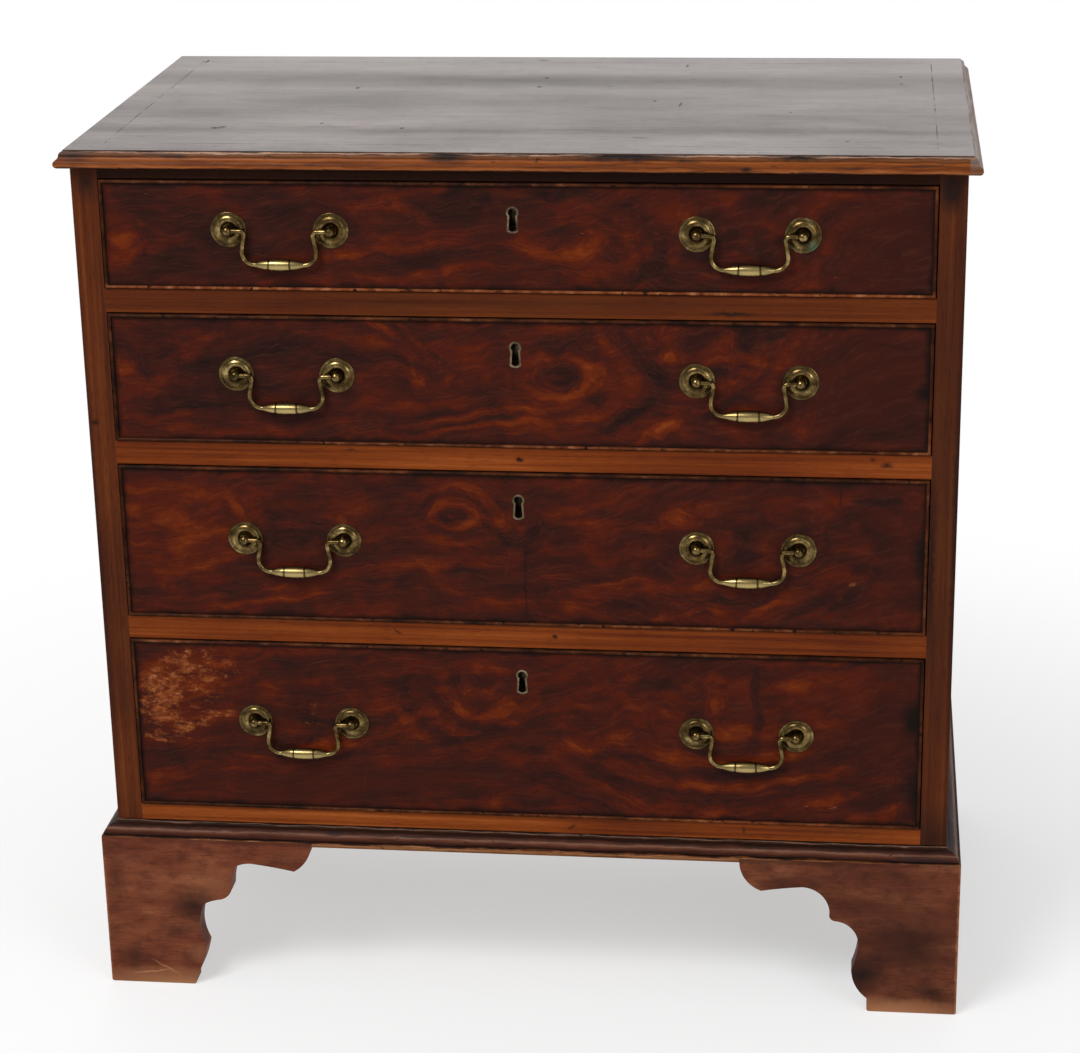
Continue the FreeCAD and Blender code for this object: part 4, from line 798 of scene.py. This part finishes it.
def bead_wood_finish():
    """Beads that are rubbed on their noses, with a painted highlight along the lower ones."""
    finish, tree, place = new_finish("mahogany_cock_beads_wear_and_highlight")
    y = add(tree, "SeparateXYZ", (place,)).outputs["Y"]
    nose_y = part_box("drawer_1_cock_beads")[0].y
    forward = add(tree, "MapRange", (y, nose_y + 1.5 * MM, nose_y + 0.1 * MM))
    wear_and_highlight = cloud(tree, place, (90, 40, 90), 61, 6.0, 0.78)
    wear_and_highlight = spots(tree, place, BEAD_WEAR_AND_HIGHLIGHT, wear_and_highlight)
    amount = add(tree, "MapRange", (wear_and_highlight, 0.48, 0.80))
    worn_and_lit = add(tree, "Math", (forward, amount), operation="MULTIPLY")
    ground = add(tree, "ValToRGB", {"Fac": cloud(tree, place, (20, 20, 20), 62)},
                 [(0.35, "#1d0f0a"), (0.65, "#42200f")])
    rubbed_and_lit = add(tree, "ValToRGB", {"Fac": cloud(tree, place, (9, 9, 9), 63, 4.0)},
                 [(0.35, "#5a2b15"), (0.55, "#824726"), (0.72, "#a8704a")])
    wood = add(tree, "Mix", {"Factor": worn_and_lit, "A": ground, "B": rubbed_and_lit}, data_type="RGBA")
    wood = flecked(tree, cloud(tree, place, 7, 64, 2.0), 0.62, 0.68, 1.0, wood, "#1b0f0b")
    coat(tree, wood, (wear_and_highlight, 0.0, 1.0, 0.25, 0.55), 0.05, wear_and_highlight, 0.15)
    return finish


bead_wood = bead_wood_finish()
print("beads:", bead_wood.name)

# %% [markdown]
# ## Oak and pine inside
# What isn't seen when the drawers are shut was made of cheaper wood and never polished: oak for
# the drawer linings, pine for the back, the runners and the dustboards. Both are dry and rough.
# Oak is grey-brown with long open pores, pine is yellower with wide year rings. Dirt has settled
# in the joints between the back boards, and painted shade darkens their outer edges.

# %% Inner woods
OAK = ["#5c3f2a", "#7a593d", "#8b6949", "#9c7a59"]
PINE = ["#62432a", "#7f5b3b", "#916b49", "#a47f5b"]
PINE_LOOK = {"patch": 200, "streak": (500, 14), "rough": 0.74, "gloss": 0.15, "pore_dark": 0.3}
back_low, back_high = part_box("back_boards")
BACK_JOINT_DIRT_AND_SHADE = on_front([   # dirt in the joints between the three boards, and painted shade along the outer edges
    ((back_low.x + share * (back_high.x - back_low.x)) / MM, 480, reach, NO_LIMIT, 0, strength)
    for share, reach, strength in ((0, 14, 0.6), (1 / 3, 1.6, 1.2), (2 / 3, 1.6, 1.2),
                                   (1, 14, 0.6))])


def back_marks(tree, place, wood):
    """Dirt in the joints of the back boards and painted shade along their outer edges. Its outlines
    are straight, as the joints are.
    """
    return marked(tree, place, wood, BACK_JOINT_DIRT_AND_SHADE, "#2a1c12")


oak, pine = {}, {}
for axis, letter in enumerate("xyz"):
    oak[letter] = straight_wood(f"planed_oak_along_{letter}", axis, OAK, 19 + axis, patch=140,
                                streak=(300, 5), rough=0.66, gloss=0.2, pore_dark=0.7)
    pine[letter] = straight_wood(f"sawn_pine_along_{letter}", axis, PINE, 25 + axis, **PINE_LOOK)
back_wood = straight_wood("sawn_pine_back", 2, PINE, 33, back_marks, **PINE_LOOK)
print("inner woods:", len(oak) + len(pine) + 1)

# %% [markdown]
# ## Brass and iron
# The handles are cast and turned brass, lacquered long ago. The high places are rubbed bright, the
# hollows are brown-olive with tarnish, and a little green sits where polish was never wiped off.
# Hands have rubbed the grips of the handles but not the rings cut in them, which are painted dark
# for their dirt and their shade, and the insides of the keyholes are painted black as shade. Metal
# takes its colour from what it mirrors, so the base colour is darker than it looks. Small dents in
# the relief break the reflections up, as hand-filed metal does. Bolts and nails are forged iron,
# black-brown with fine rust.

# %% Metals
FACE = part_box("drawer_1_front")[0].y
VERDIGRIS = [((262, FACE / MM, 738), (7, 9, 8), (0, 0, 0), 0.9),
             ((243, FACE / MM, 736), (4, 9, 4), (0, 0, 0), 0.6)]


def brass_finish(name, colours, dark, dark_from, dark_to, bright=(), groove_dirt_and_shade=()):
    """Brass that darkens between two depths, in mm behind the drawers' faces. Bright holds the
    places that hands have rubbed and groove_dirt_and_shade the rings cut in them, painted dark
    for their dirt and shade, both as spots."""
    finish, tree, place = new_finish(name)
    tarnish = cloud(tree, place, 9, 71, 4.0, 0.6)
    metal = add(tree, "ValToRGB", {"Fac": tarnish}, even(colours, 0.34, 0.70))
    metal = marked(tree, place, metal, bright, "#b09b66")
    metal = marked(tree, place, metal, groove_dirt_and_shade, dark)
    y = add(tree, "SeparateXYZ", (place,)).outputs["Y"]
    deep = add(tree, "MapRange", (y, FACE + dark_from * MM, FACE + dark_to * MM, 0.0, 0.7))
    metal = add(tree, "Mix", {"Factor": deep, "A": metal, "B": dark}, data_type="RGBA")
    metal = marked(tree, ragged(tree, place, 4, 2, 73), metal, VERDIGRIS, "#44614a")
    dents = cloud(tree, place, 3.5, 74, 2.0)
    coat(tree, metal, (tarnish, 0.35, 0.7, 0.34, 0.18), 0.5, dents, 0.05, metal=1.0)
    return finish


def iron_finish():
    """Black-brown iron; the rust is in its colour, its roughness and its relief."""
    finish, tree, place = new_finish("forged_iron")
    rust = cloud(tree, place, 4, 75, 5.0, 0.65)
    metal = add(tree, "ValToRGB", {"Fac": rust},
                [(0.32, "#2a211b"), (0.5, "#4a413a"), (0.66, "#6f6861")])
    coat(tree, metal, (rust, 0.0, 1.0, 0.6, 0.35), 0.5, rust, 0.1, metal=0.8)
    return finish


bails = [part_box(f"drawer_{number}_bail_{side}") for number in fronts
         for side in ("left", "right")]
GRIPS = on_front([((low.x + high.x) / 2 / MM, low.z / MM + 4, 36, 9, 0, 1.1)
                  for low, high in bails])
RING = 9.5      # mm from the middle of a grip to each of its two rings
# Painted dark lines for the rings cut in the grips: their dirt and their shade.
GROOVE_DIRT_AND_SHADE = on_front([(x + side * RING, 0, 1.3, NO_LIMIT, 0, 1.2)
                    for (x, _, _), *_ in GRIPS[:2] for side in (-1, 1)])
brass = brass_finish("tarnished_cast_brass", ["#352917", "#564427", "#74603a", "#a38e5f"],
                     "#3f321c", -1.8, -0.3, GRIPS, GROOVE_DIRT_AND_SHADE)
# Painted shade: from 0.4 mm behind the face this brass turns near black, as the shade inside the
# keyholes.
thread_brass = brass_finish("dull_sheet_brass", ["#40362a", "#5a4d3b", "#70614b", "#8d7d64"],
                            "#0b0806", 0.4, 2.0)
iron = iron_finish()
print("metals:", brass.name, iron.name)

# %% [markdown]
# ## Nails and pins
# The back boards are nailed on with hand-forged nails, and each lock is pinned inside its drawer
# front. Heads in a row are the same thing many times, so Geometry Nodes set them out: a line of
# points, a low faceted head on each, turned and sized a little differently by a fixed seed. The
# tree has named inputs, so one tree makes the rows of both kinds. Its result is turned into a
# plain mesh.

# %% A tree for rows of heads
def head_tree():
    """Builds the tree; returns it with the identifier of each input."""
    tree = bpy.data.node_groups.new("row_of_heads", "GeometryNodeTree")
    face = tree.interface
    names = {}
    for label, kind, value in (("Start", "NodeSocketVector", (0, 0, 0)),
                               ("End", "NodeSocketVector", (0, 0, 1)),
                               ("Count", "NodeSocketInt", 2), ("Radius", "NodeSocketFloat", 0.004),
                               ("Height", "NodeSocketFloat", 0.001), ("Seed", "NodeSocketInt", 1),
                               ("Metal", "NodeSocketMaterial", None)):
        socket = face.new_socket(label, in_out="INPUT", socket_type=kind)
        if value is not None:
            socket.default_value = value
        names[label] = socket.identifier
    face.new_socket("Heads", in_out="OUTPUT", socket_type="NodeSocketGeometry")
    given = add(tree, "NodeGroupInput").outputs
    row = add(tree, "GeometryNodeMeshLine", {"Count": given["Count"], "Start Location":
              given["Start"], "Offset": given["End"]}, mode="END_POINTS")
    narrow = add(tree, "Math", (given["Radius"], 0.4), operation="MULTIPLY")
    shape = add(tree, "GeometryNodeMeshCone", {
        "Vertices": 9, "Side Segments": 2, "Radius Top": narrow, "Radius Bottom": given["Radius"],
        "Depth": given["Height"]})
    spin = add(tree, "FunctionNodeRandomValue", {"Min": (-1.5708, 0, 0), "Max": (-1.5708, 6.28, 0),
                                                 "Seed": given["Seed"]}, data_type="FLOAT_VECTOR")
    size = add(tree, "FunctionNodeRandomValue", {"Min": 0.85, "Max": 1.1, "Seed": given["Seed"]},
               data_type="FLOAT")
    heads = add(tree, "GeometryNodeInstanceOnPoints", {"Points": row, "Instance": shape,
                                                       "Rotation": spin, "Scale": size})
    real = add(tree, "GeometryNodeRealizeInstances", {"Geometry": heads})
    dressed = add(tree, "GeometryNodeSetMaterial", {"Geometry": real, "Material": given["Metal"]})
    add(tree, "NodeGroupOutput", {"Heads": dressed})
    return tree, names


HEADS, HEAD_INPUTS = head_tree()


def heads(name, rows, radius, height, metal, body):
    """One plain mesh with a head at each place of the rows (start, end, count) in mm, facing the
    back, riding on a body."""
    whole = bmesh.new()
    for seed, (start, end, count) in enumerate(rows):
        tool = bpy.data.objects.new(name + "_tool", bpy.data.meshes.new(name + "_tool"))
        bpy.context.scene.collection.objects.link(tool)
        modifier = tool.modifiers.new("row", "NODES")
        modifier.node_group = HEADS
        for label, value in (("Start", [v * MM for v in start]), ("End", [v * MM for v in end]),
                             ("Count", count), ("Radius", radius * MM), ("Height", height * MM),
                             ("Seed", seed + 5), ("Metal", metal)):
            modifier[HEAD_INPUTS[label]] = value
        bpy.context.view_layer.update()
        made = tool.evaluated_get(bpy.context.evaluated_depsgraph_get())
        mesh = bpy.data.meshes.new_from_object(made)
        whole.from_mesh(mesh)
        tool.modifiers.remove(modifier)
        bpy.data.objects.remove(tool)
        bpy.data.meshes.remove(mesh)
    bmesh.ops.recalc_face_normals(whole, faces=whole.faces)
    mesh = bpy.data.meshes.new(name)
    whole.to_mesh(mesh)
    whole.free()
    mesh.materials.append(metal)
    piece = bpy.data.objects.new(name, mesh)
    bpy.context.scene.collection.objects.link(piece)
    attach(piece, body)
    return piece


# %% Set the heads out
back = back_high.y / MM
NAIL_IN = 9      # mm from the edges of the back to its nails
BOARD_IN = 22    # mm from the sides of a board to the ends of its rows
SIDE_IN = 90     # mm from the rows above and below to the rows along the sides
PIN_X = 26       # mm from the middle of a lock to its pins, on both sides
PIN_FROM, PIN_TO = 36, 11   # mm below the top of a lock
left, right = back_low.x / MM + NAIL_IN, back_high.x / MM - NAIL_IN
bottom, top = back_low.z / MM + NAIL_IN, back_high.z / MM - NAIL_IN
third = (right - left) / 3
nail_rows = [((left + third * i + BOARD_IN, back, z), (left + third * (i + 1) - BOARD_IN, back, z),
              3) for i in range(3) for z in (bottom, top)]
nail_rows += [((x, back, bottom + SIDE_IN), (x, back, top - SIDE_IN), 5)
              for x in (left - 2, right + 2)]
nails = heads("back_board_nails", nail_rows, 4.2, 0.8, iron, "case")
for number in fronts:
    low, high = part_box(f"drawer_{number}_lock")
    y, z = high.y / MM, high.z / MM
    rows = [((x, y, z - PIN_FROM), (x, y, z - PIN_TO), 2) for x in (-PIN_X, PIN_X)]
    heads(f"lock_pins_{number}", rows, 2.4, 0.7, iron, f"drawer_{number}")
print("nail heads:", len(nails.data.polygons), "faces")

# %% [markdown]
# ## Dress the pieces
# Every piece of the frame gets its finish through its material slots; the shapes stay as they are.

# %% Dress the pieces
DRESS = {
    "top_veneer": top_wood, "top_moulding": top_mould_wood, "base_moulding": base_mould_wood,
    "case_side_left": side_wood, "case_side_right": side_wood, "stile_facings": stile_wood,
    "drawer_rails": rail_wood, "bottom_rail": bottom_rail_wood, "top_frame": top_rail_dirt_and_shade,
    "foot_front_left": foot_wood, "foot_front_right": foot_wood, "foot_rear_left": foot_wood,
    "foot_rear_right": foot_wood, "top_board": pine["x"], "back_boards": back_wood,
    "bottom_board": pine["x"], "drawer_runners": pine["y"], "dustboards": pine["x"],
    "drawer_stops": oak["x"], "foot_blocks": pine["z"],
}
for number in fronts:
    tag = f"drawer_{number}_"
    DRESS[tag + "front"] = fronts[number]
    DRESS[tag + "cock_beads"] = bead_wood
    DRESS[tag + "lock_bolt"] = iron
    for piece, letter in (("sides", "y"), ("back", "x"), ("bottom", "x")):
        DRESS[tag + piece] = oak[letter]
    DRESS[tag + "lock"] = thread_brass
    for piece in ("handle_posts", "bail_left", "bail_right"):
        DRESS[tag + piece] = brass
for name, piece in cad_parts.items():
    for slot in piece.material_slots:
        slot.material = DRESS[name]
print("dressed:", len(DRESS), "of", len(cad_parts))
